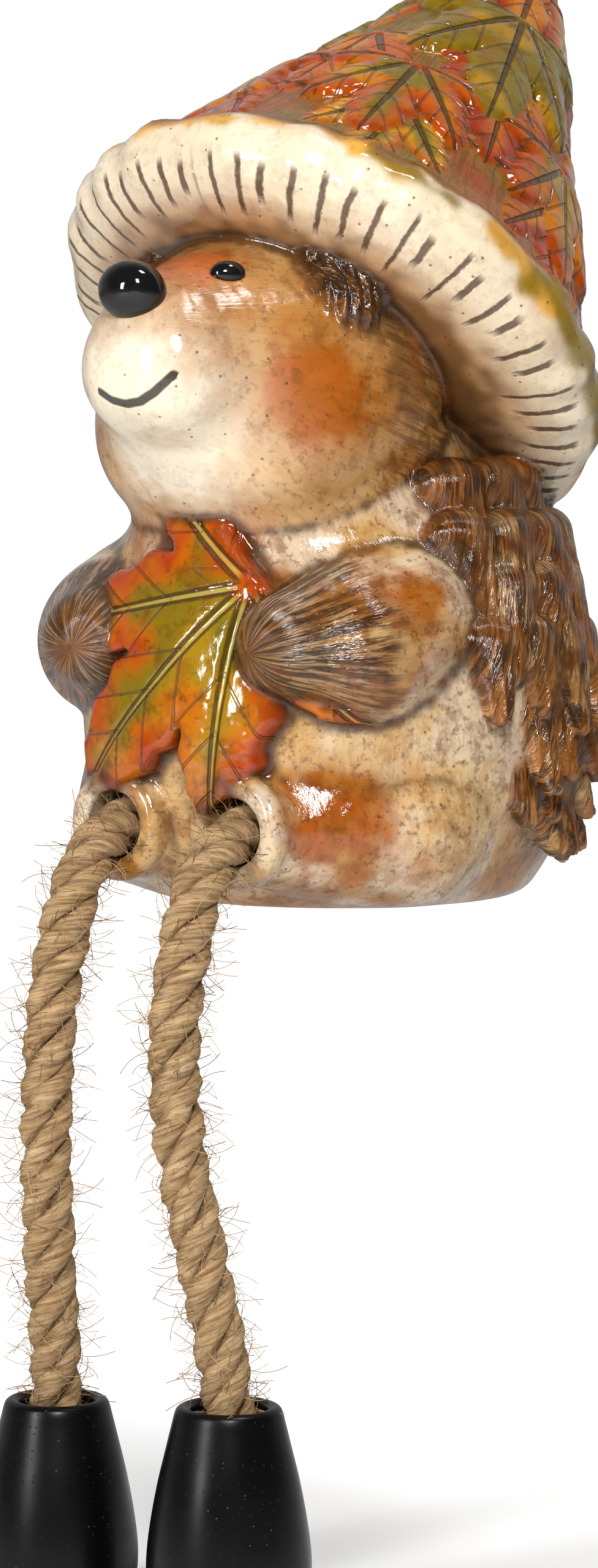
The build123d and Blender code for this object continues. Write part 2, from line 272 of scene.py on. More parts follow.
def noise(tree, vector, scale, detail=4.0, roughness=0.55, distortion=0.0):
    """A noise value from a vector."""
    sockets = {
        "Vector": vector, "Scale": scale, "Detail": detail, "Roughness": roughness, "Distortion": distortion,
    }
    return Sock(tree, add_node(tree, "ShaderNodeTexNoise", {}, sockets).outputs["Fac"])


def specks(tree, vector, scale, size):
    """Small round dots on some cells of a pattern, 1 inside a dot."""
    cells = add_node(tree, "ShaderNodeTexVoronoi", {}, {"Vector": vector, "Scale": scale, "Randomness": 1.0})
    chance = add_node(tree, "ShaderNodeSeparateColor", {}, {0: cells.outputs["Color"]})
    inside = 1.0 - Sock(tree, cells.outputs["Distance"]).step(0.4 * size, size)
    return inside * Sock(tree, chance.outputs[0]).step(0.55, 0.6)


def bumped(tree, height, distance, strength=1.0):
    """A bump normal from a height."""
    sockets = {"Strength": strength, "Distance": distance, "Height": height}
    return Sock(tree, add_node(tree, "ShaderNodeBump", {}, sockets).outputs["Normal"])


def new_material(name):
    """An empty Principled material and its parts."""
    material = bpy.data.materials.new(name)
    material.use_nodes = True
    tree = material.node_tree
    return material, tree, tree.nodes["Principled BSDF"].inputs


def route_line(side):
    """Points along one rope's smooth centreline, in metres."""
    data = bpy.data.curves.new(f"{side}_route", "CURVE")
    data.dimensions = "3D"
    data.resolution_u = 24
    spline = data.splines.new("NURBS")
    spline.points.add(len(ROUTES[side]) - 1)
    for point, place in zip(spline.points, ROUTES[side]):
        point.co = (*place, 1.0)
    spline.order_u = 3
    spline.use_endpoint_u = True
    curve = link(f"{side}_route", data)
    bpy.context.view_layer.update()
    mesh = bpy.data.meshes.new_from_object(curve.evaluated_get(bpy.context.evaluated_depsgraph_get()))
    line = np.array([vertex.co for vertex in mesh.vertices])
    bpy.data.objects.remove(curve)
    bpy.data.meshes.remove(mesh)
    return line


def even_line(line, step):
    """The same line with points an even step apart."""
    along = np.concatenate([[0], np.cumsum(np.linalg.norm(np.diff(line, axis=0), axis=1))])
    count = max(int(round(along[-1] / step)), 2)
    places = np.linspace(0, along[-1], count + 1)
    return np.stack([np.interp(places, along, line[:, axis]) for axis in range(3)], axis=1), places


def carried_frames(line):
    """Tangent, side and up vectors that turn as little as possible along a line."""
    tangent = np.gradient(line, axis=0)
    tangent /= np.linalg.norm(tangent, axis=1)[:, None]
    side = np.cross(tangent[0], (1.0, 0.0, 0.0))
    side /= np.linalg.norm(side)
    sides = []
    for direction in tangent:
        side = side - direction * np.dot(side, direction)
        side /= np.linalg.norm(side)
        sides.append(side)
    sides = np.array(sides)
    return tangent, sides, np.cross(tangent, sides)


def tube(rings):
    """Points and faces of a closed tube through rings of points, shaped (rings, sides, 3)."""
    count, sides = rings.shape[:2]
    index = np.arange(count * sides).reshape(count, sides)
    following = np.roll(index, -1, axis=1)
    quads = np.stack([index[:-1], following[:-1], following[1:], index[1:]], axis=-1).reshape(-1, 4)
    faces = quads.tolist() + [index[0][::-1].tolist(), index[-1].tolist()]
    return rings.reshape(-1, 3), faces


def jute_material():
    """Tan plant fibre with darker gaps along the strand's grain, and painted shade where the strands dip
    towards the rope's core.
    """
    props = bpy.context.scene.sitter_rope
    material, tree, inputs = new_material("jute")
    grain = attribute(tree, "grain", "Vector")
    fibre = noise(tree, stretched(tree, grain, (0.25, 1.0, 1.0)), 1.0, 6.0, 0.7)
    fine = noise(tree, stretched(tree, grain, (0.6, 3.2, 1.0)), 1.0, 4.0, 0.65)
    depth = attribute(tree, "depth")
    pale = mixed(tree, fibre.step(0.36, 0.66), tuple(props.dark_tint), tuple(props.pale_tint))
    warm = mixed(tree, fine.step(0.46, 0.7) * 0.5, pale, (0.83, 0.69, 0.47))
    # Painted shade: dark brown where the strand's surface dips towards the rope's core, in the gaps between
    # the strands
    colour = mixed(tree, depth.step(0.15, 0.8) * 0.85, (0.13, 0.075, 0.033), warm)
    plug(tree, colour, inputs["Base Color"])
    inputs["Roughness"].default_value = 0.85
    inputs["Specular IOR Level"].default_value = 0.2
    plug(tree, bumped(tree, fibre * 0.6 + fine * 0.7, 0.0006, 0.9), inputs["Normal"])
    return material


def rope_mesh(name, line, places, frames, first, last, material):
    """Three strands laid round a stretch of the rope's line."""
    props = bpy.context.scene.sitter_rope
    radius = 0.5 * props.diameter
    rng = np.random.default_rng(ROPE_SEED)
    stretch = slice(first, last)
    tangent, side, up = (values[stretch] for values in frames)
    centre = line[stretch]
    along = places[stretch]
    around = np.linspace(0, 2 * np.pi, STRAND_SIDES, endpoint=False)
    points, faces, grain, depth = [], [], [], []
    for strand in range(STRANDS):
        wander = rng.normal(0, WANDER, WANDER_PLACES)
        wander = np.interp(along, np.linspace(0, places[-1], WANDER_PLACES), wander)
        swell = rng.normal(1.0, SWELL, SWELL_PLACES)
        swell = np.interp(along, np.linspace(0, places[-1], SWELL_PLACES), swell)
        turn = 2 * np.pi * (along / props.lay + strand / STRANDS) + wander * 3
        arm = side * np.cos(turn)[:, None] + up * np.sin(turn)[:, None]
        core = centre + arm * (radius * STRAND_OFFSET)
        across = np.cross(tangent, arm)
        lean = tangent + across * (2 * np.pi * STRAND_OFFSET * radius / props.lay)
        lean /= np.linalg.norm(lean, axis=1)[:, None]
        flat = np.cross(lean, arm)
        ply = 2 * np.pi * along[:, None] / (YARN_LAY * props.lay)
        yarn = 1 + YARN_RELIEF * np.cos(YARNS * around[None, :] - ply)
        size = (radius * STRAND_RADIUS) * swell[:, None] * yarn
        rings = core[:, None] + size[..., None] * (
            arm[:, None] * np.cos(around)[None, :, None] + flat[:, None] * np.sin(around)[None, :, None]
        )
        base = sum(len(block) for block in points)
        block, block_faces = tube(rings)
        points.append(block)
        faces += [[index + base for index in face] for face in block_faces]
        twist = around[None, :] - 2 * np.pi * along[:, None] / (GRAIN_LAY * props.lay)
        grain.append(np.stack([
            np.repeat(along[:, None] / MM, STRAND_SIDES, 1).ravel(),
            (np.cos(twist) * GRAIN_RADIUS).ravel() + GRAIN_GAP * strand,
            (np.sin(twist) * GRAIN_RADIUS).ravel(),
        ], axis=1))
        # How far each point lies out from the rope's core; the jute material paints shade where this is
        # small, between the strands
        away = np.linalg.norm(rings - centre[:, None], axis=2) / radius
        depth.append(np.clip((away - 0.45) / 0.55, 0, 1).ravel())
    obj = mesh_object(name, np.concatenate(points) / MM, faces, material)
    add_vectors(obj.data, "grain", np.concatenate(grain))
    add_floats(obj.data, "depth", np.concatenate(depth))
    return obj


def fuzz_tree(material):
    """Geometry Nodes that grow loose fibres on a rope."""
    props = bpy.context.scene.sitter_rope
    tree = bpy.data.node_groups.new("rope_fuzz", "GeometryNodeTree")
    face = tree.interface
    face.new_socket("Geometry", in_out="INPUT", socket_type="NodeSocketGeometry")
    for name, kind, value in (
        ("Density", "NodeSocketFloat", props.fuzz_density),
        ("Length", "NodeSocketFloat", props.fuzz_length),
        ("Thickness", "NodeSocketFloat", FIBRE_THICKNESS),
        ("Seed", "NodeSocketInt", FIBRE_SEED),
    ):
        face.new_socket(name, in_out="INPUT", socket_type=kind).default_value = value
    face.new_socket("Geometry", in_out="OUTPUT", socket_type="NodeSocketGeometry")
    given = add_node(tree, "NodeGroupInput", {}, {}).outputs
    spots = add_node(tree, "GeometryNodeDistributePointsOnFaces", {}, {
        "Mesh": given["Geometry"], "Density": given["Density"], "Seed": given["Seed"],
    }).outputs
    hair = add_node(tree, "GeometryNodeCurveQuadraticBezier", {}, {"Resolution": 5, **FIBRE_CURVE})
    thin = Sock(tree, given["Thickness"]) / Sock(tree, given["Length"])
    shaft = add_node(tree, "GeometryNodeCurvePrimitiveCircle", {}, {"Resolution": 3, "Radius": thin})
    fibre = add_node(tree, "GeometryNodeCurveToMesh", {}, {
        "Curve": hair.outputs["Curve"], "Profile Curve": shaft.outputs["Curve"],
    })
    spin = add_node(tree, "FunctionNodeRandomValue", {"data_type": "FLOAT_VECTOR"}, {
        0: (-FIBRE_LEAN, -FIBRE_LEAN, 0.0), 1: (FIBRE_LEAN, FIBRE_LEAN, 2 * math.pi),
    })
    turned = add_node(tree, "FunctionNodeRotateRotation", {"rotation_space": "LOCAL"}, {
        "Rotation": spots["Rotation"], "Rotate By": spin.outputs[0],
    })
    share = add_node(tree, "FunctionNodeRandomValue", {}, {2: FIBRE_SHORTEST, 3: 1.0})
    placed = add_node(tree, "GeometryNodeInstanceOnPoints", {}, {
        "Points": spots["Points"], "Instance": fibre.outputs["Mesh"], "Rotation": turned.outputs[0],
        "Scale": Sock(tree, share.outputs[1]) * Sock(tree, given["Length"]),
    })
    real = add_node(tree, "GeometryNodeRealizeInstances", {}, {"Geometry": placed.outputs["Instances"]})
    dressed = add_node(tree, "GeometryNodeSetMaterial", {}, {
        "Geometry": real.outputs["Geometry"], "Material": material,
    })
    add_node(tree, "NodeGroupOutput", {}, {"Geometry": dressed.outputs["Geometry"]})
    return tree


def grown(name, source, tree):
    """A mesh object of what a node tree makes on another object."""
    modifier = source.modifiers.new("grow", "NODES")
    modifier.node_group = tree
    bpy.context.view_layer.update()
    mesh = bpy.data.meshes.new_from_object(source.evaluated_get(bpy.context.evaluated_depsgraph_get()))
    source.modifiers.remove(modifier)
    return link(name, mesh)


# Shape of the glazed figure, in millimetres, as in the CAD model
TORSO_Y = -4.5
TORSO_RINGS = ((30.5, 0.0), (36.6, 10.0), (40.5, 36.0), (36.0, 54.0), (27.0, 68.0))
TORSO_CAP = ((22.0, 74.0), (10.0, 80.0))
TORSO_TOP = 76.0
KNEE = (12.0, -38.5, 13.0)
KNEE_RADIUS = 9.0
HAUNCH = (23.5, -19.0, 13.5)
HAUNCH_RADIUS = 14.5
LEG_HOLE = 5.3
LEG_HOLE_END_Y = -24.0
HEAD = np.array((0.0, -21.0, 80.0))
SNOUT_RISE = math.radians(16.0)
FACE_AXIS = np.array((0.0, -math.cos(SNOUT_RISE), math.sin(SNOUT_RISE)))
FACE_UP = np.array((0.0, math.sin(SNOUT_RISE), math.cos(SNOUT_RISE)))
SNOUT_LENGTH = 26.0
SNOUT = HEAD + FACE_AXIS * SNOUT_LENGTH
HEAD_RADIUS = 27.0
SNOUT_RADIUS = 12.0
SHOULDER = (25.0, -22.0, 45.0)
SHOULDER_RADIUS = 12.7
PAW = (19.7, -41.5, 42.0)
PAW_RADIUS = 8.2
ELBOW = (25.5, -30.5, 40.5)
ELBOW_RADIUS = 11.8
EAR_TURN = math.radians(72.0)
EAR_LIFT = math.radians(43.0)
EAR_RADII = (5.2, 8.6, 2.9)
HAT = np.array((0.0, -5.0, 91.0))
HAT_TILT = math.radians(42.0)
HAT_AXIS = np.array((0.0, math.sin(HAT_TILT), math.cos(HAT_TILT)))
HAT_DOWN = np.array((0.0, math.cos(HAT_TILT), -math.sin(HAT_TILT)))
CROWN = ((5.0, 81.0), (38.5, 11.0))
HAT_OUTLINE = (
    (0.0, 86.0), (2.2, 85.4), (4.0, 83.8), (5.0, 81.0), (38.5, 11.0), (41.0, 7.0),
    (44.0, 4.3), (45.6, 2.6), (46.4, 0.4), (46.2, -2.2), (45.0, -4.6), (42.6, -6.6),
    (39.0, -8.0), (34.0, -8.8), (28.0, -9.0), (0.0, -9.0),
)
# Closes the hat's outline behind its axis
HAT_BEHIND = ((-9.0, -9.0), (-9.0, 86.0))
HAT_TABLE = ((-1.0, -30.0), (75.0, 100.0), 0.25)
LEAF_LOBES = ((-82, 0.58), (-36, 0.82), (0, 1.0), (36, 0.82), (82, 0.58))
LEAF_TEETH = ((0.60, -19), (0.66, -14), (0.74, -13.5), (0.84, -8), (0.88, -8), (1.0, 0),
              (0.88, 8), (0.84, 8), (0.74, 13.5), (0.66, 14), (0.60, 19))
LEAF_NOTCH = 0.47
LEAF_STEM = 0.12
# The held leaf: stem's place across and up, turn, length and height over the belly
HELD_LEAF = (13.0, 51.0, math.radians(-134.0), 46.0, 3.4)
# Rings of crown leaves: count, ring radius, first turn, relief and length; the low ones fill the gaps
LEAF_RINGS = (
    (6, 28.0, 0.0, 0.9, 28.0), (5, 14.0, 20.0, 0.9, 28.0), (7, 37.5, 8.0, 0.8, 24.0),
    (6, 33.0, 30.0, 1.9, 28.0), (3, 21.5, 116.0, 1.9, 34.0),
)
LEAF_TABLE_STEP = 0.01
LEAF_TABLE_REACH = 1.4

# Nose and eyes: places on the head, and half sizes across, up and outwards
NOSE_LIFT = math.radians(27.0)
NOSE_REACH = 12.8
NOSE_RADII = (5.6, 4.5, 5.0)
EYE_STATION = 26.0
EYE_ROLL = math.radians(35.0)
EYE_RADII = (2.8, 2.0, 1.9)

# Boot: radius and height below the rim, from the sole up and into the bore
BOOT_PROFILE = (
    (9.4, -34.0), (10.9, -33.3), (11.9, -31.0), (12.6, -27.0), (12.6, -23.0), (12.0, -18.0),
    (10.9, -12.0), (9.6, -6.5), (8.7, -2.8), (8.3, -1.2), (7.9, -0.4), (7.1, 0.0),
    (6.3, -0.3), (5.8, -1.2), (5.7, -6.0), (5.7, -13.0),
)
BOOT_SIDES = 96

# Small forms that only the scene has: lips of the leg holes, cheeks and upper lip
LIP_RING = 7.0
LIP_Y = -44.6
LIP_RADIUS = 2.1
CHEEK = (12.0, -30.5, 73.0)
CHEEK_RADIUS = 11.0
UPPER_LIP = (3.6, -48.6, 83.5)
UPPER_LIP_RADIUS = 9.2
# Fillets where the forms of one piece meet, and where the seat and the held leaf turn over
THIGH_FILLET = 2.6
LIP_FILLET = 1.5
CHEEK_FILLET = 7.0
UPPER_LIP_FILLET = 4.0
ELBOW_FILLET = 5.0
NECK_FILLET = 6.0
QUILL_FILLET = 0.5
SEAT_EDGE = 2.4
HELD_LEAF_EDGE = 1.4
SEAM_REACH = 2.2
# How far from the hat's plain form its relief is worked out, and where its leaves may lie
HAT_RELIEF_REACH = 5.0
LEAF_FOOT = 4.5
LEAF_MARGIN = 0.3
# Hollows that hold the dark wash: how far around a point is looked at, and the greatest distance counted
HOLLOW_REACH = 2.2
HOLLOW_BAND = 6

# Quill tufts: rows, lowest height, rise to the next row, spacing, half spread of the lowest row, growth
QUILL_ROWS = 7
QUILL_FOOT = 11.5
QUILL_RISE = 8.2
QUILL_PITCH = 10.6
QUILL_SPREAD = (98.0, 18.0)
QUILL_RADII = (4.4, 1.2)
QUILL_REACH = 14.0
QUILL_LEAD = 0.05

GRID_LOW = (-52.0, -68.0, -4.0)
GRID_HIGH = (52.0, 68.0, 160.0)
VOXEL = 0.6
GRID_LAYERS = 12
LATTICE = 24

BODY, HEAD_SKIN, HAT_SKIN, LEFT_ARM, RIGHT_ARM, LEFT_EAR, RIGHT_EAR, QUILLS, BELLY_LEAF, HAT_LEAF = range(10)
# Fillets between the pieces, in the order in which they are joined to the body and head
SOFT_JOINS = (
    (LEFT_ARM, 1.6), (RIGHT_ARM, 1.6), (LEFT_EAR, 2.0), (RIGHT_EAR, 2.0), (HAT_SKIN, 2.0), (BELLY_LEAF, 0.8),
)


def hat_leaf_places():
    """Turn, ring radius, ring height, relief and length of every leaf on the crown."""
    (tip, top), (foot, start) = CROWN
    places = []
    for count, ring, first, rise, length in LEAF_RINGS:
        height = start + (foot - ring) / (foot - tip) * (top - start)
        for index in range(count):
            places.append((-math.radians(first + 360 * index / count), ring, height, rise, length))
    return places


def quill_places():
    """Root, outward direction and row of every quill tuft."""
    heights = [ring[1] for ring in TORSO_RINGS]
    radii = [ring[0] for ring in TORSO_RINGS]
    places = []
    for row in range(QUILL_ROWS):
        height = QUILL_FOOT + QUILL_RISE * row
        radius = float(np.interp(height, heights, radii))
        step = QUILL_PITCH / radius
        span = math.radians(QUILL_SPREAD[0] + QUILL_SPREAD[1] * row / (QUILL_ROWS - 1))
        count = int(2 * span / step)
        for index in range(count):
            turn = (index - 0.5 * (count - 1) + 0.5 * (row % 2)) * step
            outward = np.array((math.sin(turn), math.cos(turn), 0.0))
            root = outward * radius + np.array((0.0, TORSO_Y, height))
            places.append((root, outward, row))
    return places


def arc_table(first, middle, last, count=24):
    """Points on the circle through three points."""
    (ax, ay), (bx, by), (cx, cy) = first, middle, last
    d = 2 * (ax * (by - cy) + bx * (cy - ay) + cx * (ay - by))
    ux = ((ax**2 + ay**2) * (by - cy) + (bx**2 + by**2) * (cy - ay) + (cx**2 + cy**2) * (ay - by)) / d
    uy = ((ax**2 + ay**2) * (cx - bx) + (bx**2 + by**2) * (ax - cx) + (cx**2 + cy**2) * (bx - ax)) / d
    turns = [math.atan2(y - uy, x - ux) for x, y in (first, last)]
    radius = math.hypot(ax - ux, ay - uy)
    steps = np.linspace(turns[0], turns[1], count)
    return np.stack([ux + radius * np.cos(steps), uy + radius * np.sin(steps)], axis=1)


def outline_distance(points, corners):
    """Signed distance of flat points to a closed outline, less than 0 inside."""
    corners = np.asarray(corners, float)
    best = np.full(len(points), 1e9)
    inside = np.zeros(len(points), bool)
    for first, second in zip(corners, np.roll(corners, -1, axis=0)):
        edge = second - first
        share = np.clip(((points - first) @ edge) / (edge @ edge), 0, 1)
        best = np.minimum(best, np.sum((points - first - share[:, None] * edge) ** 2, axis=1))
        crosses = (first[1] > points[:, 1]) != (second[1] > points[:, 1])
        if first[1] != second[1]:
            meet = first[0] + (points[:, 1] - first[1]) / (second[1] - first[1]) * edge[0]
            inside ^= crosses & (points[:, 0] < meet)
    return np.sqrt(best) * np.where(inside, -1, 1)


class Table:
    """A flat field kept on a grid and read between its points."""

    def __init__(self, low, high, step, corners):
        self.low = np.asarray(low, float)
        self.step = step
        count = np.ceil((np.asarray(high) - self.low) / step).astype(int) + 1
        axes = [self.low[axis] + step * np.arange(count[axis]) for axis in range(2)]
        flat = np.stack(np.meshgrid(*axes, indexing="ij"), axis=-1).reshape(-1, 2)
        self.values = outline_distance(flat, corners).reshape(count).astype(np.float32)

    def read(self, first, second):
        """The field between the grid's points."""
        place = []
        for axis, value in enumerate((first, second)):
            spot = np.clip((value - self.low[axis]) / self.step, 0, self.values.shape[axis] - 1.001)
            place.append((spot.astype(np.int32), spot - spot.astype(np.int32)))
        (i, u), (j, v) = place
        grid = self.values
        near_row = grid[i, j] * (1 - u) + grid[i + 1, j] * u
        far_row = grid[i, j + 1] * (1 - u) + grid[i + 1, j + 1] * u
        return near_row * (1 - v) + far_row * v


def maple_outline():
    """Outline of a maple leaf of unit length that points along the first axis."""
    corners = [(-0.02, -LEAF_STEM)]
    for index, (angle, share) in enumerate(LEAF_LOBES):
        for reach, offset in LEAF_TEETH:
            turn = math.radians(angle + offset)
            corners.append((reach * share * math.cos(turn), reach * share * math.sin(turn)))
        if index + 1 < len(LEAF_LOBES):
            turn = math.radians((angle + LEAF_LOBES[index + 1][0]) / 2)
            corners.append((LEAF_NOTCH * math.cos(turn), LEAF_NOTCH * math.sin(turn)))
    corners.append((-0.02, LEAF_STEM))
    return corners


def ramp(values, low, high):
    """0 at low, 1 at high, smooth between."""
    share = np.clip((values - low) / (high - low), 0, 1)
    return share * share * (3 - 2 * share)


def joined(first, second, soft):
    """Union of two distance fields with a soft fillet."""
    blend = np.maximum(soft - np.abs(first - second), 0)
    return np.minimum(first, second) - blend * blend / (4 * soft)


def shared(first, second, soft):
    """What two distance fields share, with a soft edge."""
    blend = np.maximum(soft - np.abs(first - second), 0)
    return np.maximum(first, second) + blend * blend / (4 * soft)


def mirrored(place, side):
    """A place on the animal's left, or the same one on its right."""
    return (side * place[0], *place[1:])


def round_cone(points, start, end, start_radius, end_radius):
    """Distance to two balls joined by the cone that touches both."""
    start = np.asarray(start, np.float32)
    axis = np.asarray(end, np.float32) - start
    length = float(np.linalg.norm(axis))
    axis = axis / length
    lean = math.asin((start_radius - end_radius) / length)
    rel = points - start
    along = rel @ axis
    away = np.sqrt(np.maximum(np.einsum("...i,...i->...", rel, rel) - along * along, 0))
    slide = along * math.cos(lean) - away * math.sin(lean)
    side = along * math.sin(lean) + away * math.cos(lean) - start_radius
    back = np.sqrt(along * along + away * away) - start_radius
    front = np.sqrt((along - length) ** 2 + away * away) - end_radius
    return np.where(slide < 0, back, np.where(slide > length * math.cos(lean), front, side))


def ball(points, centre, radius):
    """Distance to a ball."""
    return np.linalg.norm(points - np.asarray(centre, np.float32), axis=-1) - radius


def hat_place(points):
    """Distance from the hat's axis, turn about it and height along it."""
    rel = points - HAT.astype(np.float32)
    height = rel @ HAT_AXIS.astype(np.float32)
    down = rel @ HAT_DOWN.astype(np.float32)
    return np.hypot(down, rel[..., 0]), np.arctan2(rel[..., 0], down), height


def hat_leaf_flat(away, turn, height, place):
    """Position on one crown leaf, from its stem and across it."""
    leaf_turn, ring, ring_height, _, length = place
    (tip, top), (foot, start) = CROWN
    slope = math.hypot(foot - tip, top - start)
    fall = ((foot - tip) / slope, (start - top) / slope)
    along = (away - ring) * fall[0] + (height - ring_height) * fall[1] + 0.42 * length
    across = np.maximum(away, 3.0) * ((turn - leaf_turn + np.pi) % (2 * np.pi) - np.pi)
    return along, across


def held_leaf_flat(points):
    """Position on the held leaf, from its stem and across it."""
    x, z, turn, _, _ = HELD_LEAF
    along = (points[..., 0] - x) * math.cos(turn) + (points[..., 2] - z) * math.sin(turn)
    across = -(points[..., 0] - x) * math.sin(turn) + (points[..., 2] - z) * math.cos(turn)
    return along, across


def vein_fold(along, across):
    """Lengthwise and sideways distance from the nearest of a leaf's main veins."""
    turn = np.degrees(np.arctan2(across, along))
    reach = np.hypot(along, across)
    side = np.abs(turn)
    lobe = np.where(side < 18, 0, np.where(side < 59, 36, 82))
    bend = np.radians(side - lobe)
    return reach * np.cos(bend), reach * np.sin(bend)


class Figure:
    """Distance fields of the glazed figure."""

    def __init__(self):
        lower = arc_table(*TORSO_RINGS[:3])
        upper = arc_table(*TORSO_RINGS[2:])
        rings = np.concatenate([lower, upper[1:], TORSO_CAP])
        self.torso_radius, self.torso_height = rings[:, 0], rings[:, 1]
        self.hat_table = Table(*HAT_TABLE, HAT_OUTLINE + HAT_BEHIND)
        reach = LEAF_TABLE_REACH
        self.leaf_table = Table((-reach, -reach), (reach, reach), LEAF_TABLE_STEP, maple_outline())
        self.leaves = hat_leaf_places()
        self.quills = quill_places()

    def torso(self, points):
        """The belly and back, up to the neck."""
        away = np.hypot(points[..., 0], points[..., 1] - TORSO_Y)
        field = (away - np.interp(points[..., 2], self.torso_height, self.torso_radius)) * 0.92
        return np.maximum(field, points[..., 2] - TORSO_TOP)

    def thigh(self, points, side):
        """One haunch and knee."""
        start = mirrored(HAUNCH, side)
        return round_cone(points, start, mirrored(KNEE, side), HAUNCH_RADIUS, KNEE_RADIUS)

    def bore_distance(self, points, side):
        """Distance from the axis of one leg hole."""
        return np.hypot(points[..., 0] - side * KNEE[0], points[..., 2] - KNEE[2])

    def body(self, points):
        """The torso with both thighs and the lips of the leg holes."""
        field = self.torso(points)
        for side in (-1, 1):
            field = joined(field, self.thigh(points, side), THIGH_FILLET)
            ring = self.bore_distance(points, side) - LIP_RING
            lip = np.hypot(ring, points[..., 1] - LIP_Y) - LIP_RADIUS
            field = joined(field, lip, LIP_FILLET)
        return field

    def head(self, points):
        """The head and snout, with cheeks and upper lip."""
        field = round_cone(points, HEAD, SNOUT, HEAD_RADIUS, SNOUT_RADIUS)
        for side in (-1, 1):
            field = joined(field, ball(points, mirrored(CHEEK, side), CHEEK_RADIUS), CHEEK_FILLET)
            lip = ball(points, mirrored(UPPER_LIP, side), UPPER_LIP_RADIUS)
            field = joined(field, lip, UPPER_LIP_FILLET)
        return field

    def arm(self, points, side):
        """One bent arm with its paw."""
        start = np.array(mirrored(SHOULDER, side))
        end = np.array(mirrored(PAW, side))
        elbow = ball(points, mirrored(ELBOW, side), ELBOW_RADIUS)
        return joined(round_cone(points, start, end, SHOULDER_RADIUS, PAW_RADIUS), elbow, ELBOW_FILLET)

    def ear(self, points, side):
        """One flat, stranded ear on the head."""
        outward = np.array((
            side * math.sin(EAR_TURN) * math.cos(EAR_LIFT),
            -math.cos(EAR_TURN) * math.cos(EAR_LIFT),
            math.sin(EAR_LIFT),
        ), np.float32)
        rel = points - (HEAD + outward * HEAD_RADIUS).astype(np.float32)
        level = np.cross((0.0, 0.0, 1.0), outward).astype(np.float32)
        level /= np.linalg.norm(level)
        upright = np.cross(outward, level)
        flat = np.hypot(rel @ level / EAR_RADII[0], rel @ upright / EAR_RADII[1])
        strands = 0.35 * np.cos((rel @ level) * 3.0 + np.sin((rel @ upright) * 0.5))
        return (np.hypot(flat, rel @ outward / EAR_RADII[2]) - 1) * EAR_RADII[2] + strands

    def hat(self, points):
        """The hat with its leaves and its wavy rim."""
        away, turn, height = hat_place(points)
        field = self.hat_table.read(away, height)
        skin = np.abs(field) < HAT_RELIEF_REACH
        relief = np.zeros_like(field)
        for place in self.leaves:
            flat = hat_leaf_flat(away[skin], turn[skin], height[skin], place)
            relief[skin] = np.maximum(relief[skin], self.leaf_relief(*flat, place[4], place[3]))
        wave = 0.35 * np.sin(turn[skin] * 23 + 2 * np.sin(turn[skin] * 5)) * ramp(away[skin], 40, 45)
        relief[skin] += wave
        return field - relief

    def leaf_relief(self, along, across, length, height):
        """Height of a leaf over what it lies on."""
        edge = self.leaf_table.read(along / length, across / length) * length
        reach, side = vein_fold(along, across)
        dome = 0.75 + 0.25 * ramp(-edge, 0.0, 4.0)
        groove = 0.35 * (1 - ramp(np.abs(side), 0.3, 1.0)) * ramp(reach, 0.5, 3.0)
        return ramp(-edge, -0.7, 0.7) * (height * dome - groove)

    def held_leaf(self, points):
        """The leaf in front of the belly."""
        _, _, _, length, height = HELD_LEAF
        along, across = held_leaf_flat(points)
        edge = self.leaf_table.read(along / length, across / length) * length
        edge = np.where(points[..., 1] > -10, 20.0, edge)
        reach, side = vein_fold(along, across)
        groove = 0.45 * (1 - ramp(np.abs(side), 0.3, 1.1)) * ramp(reach, 0.5, 3.0)
        curl = 0.8 * ramp(np.hypot(along, across), 20, 44)
        top = self.torso(points) - height - curl + groove
        return shared(top, edge - 0.2, HELD_LEAF_EDGE)

    def parts(self, points):
        """Every part's own field, by label."""
        return {
            BODY: self.body(points),
            HEAD_SKIN: self.head(points),
            HAT_SKIN: self.hat(points),
            LEFT_ARM: self.arm(points, 1),
            RIGHT_ARM: self.arm(points, -1),
            LEFT_EAR: self.ear(points, 1),
            RIGHT_EAR: self.ear(points, -1),
            BELLY_LEAF: self.held_leaf(points),
        }

    def seams(self, points):
        """1 where two parts meet, falling to 0 over a short reach."""
        fields = np.sort(np.stack(list(self.parts(points).values())), axis=0)
        gap = fields[1] - fields[0]
        for side in (-1, 1):
            thigh = self.thigh(points, side)
            gap = np.minimum(gap, 0.9 + np.abs(thigh - self.torso(points)) + np.maximum(fields[0], 0) * 4)
        return 1 - ramp(gap, 0.2, SEAM_REACH)

    def whole(self, points):
        """The joined field, without quills."""
        part = self.parts(points)
        field = joined(part[BODY], part[HEAD_SKIN], NECK_FILLET)
        for label, soft in SOFT_JOINS:
            field = joined(field, part[label], soft)
        for side in (-1, 1):
            hole = self.bore_distance(points, side) - LEG_HOLE
            hole = np.maximum(hole, points[..., 1] - LEG_HOLE_END_Y)
            field = np.maximum(field, -hole)
        return shared(field, -points[..., 2], SEAT_EDGE)

    def quill(self, points, place):
        """One tuft: a flat, grooved drop that hangs down the back."""
        root, outward, row = place
        seed = int(abs(root[0] * 53 + root[1] * 17 + root[2] * 7) * 10)
        sway, grow, phase = np.random.default_rng(seed).random(3)
        across = np.cross(outward, (0.0, 0.0, 1.0)).astype(np.float32)
        start = root + np.array((0, 0, 5.5)) - outward * 2.4
        drop = 3.0 + 1.5 * grow if row == 0 else 5.0 + 4.5 * grow
        end = root - np.array((0, 0, drop)) + outward * (1.8 + 1.8 * grow) + across * (6.5 * (sway - 0.5))
        rel = points - root.astype(np.float32)
        side = rel @ across
        field = round_cone(points - across * (side * 0.3)[..., None], start, end, *QUILL_RADII)
        return field + 0.4 * np.cos(side * 3.0 + 6.0 * phase) * ramp(rel[..., 2], 5.0, -1.0)


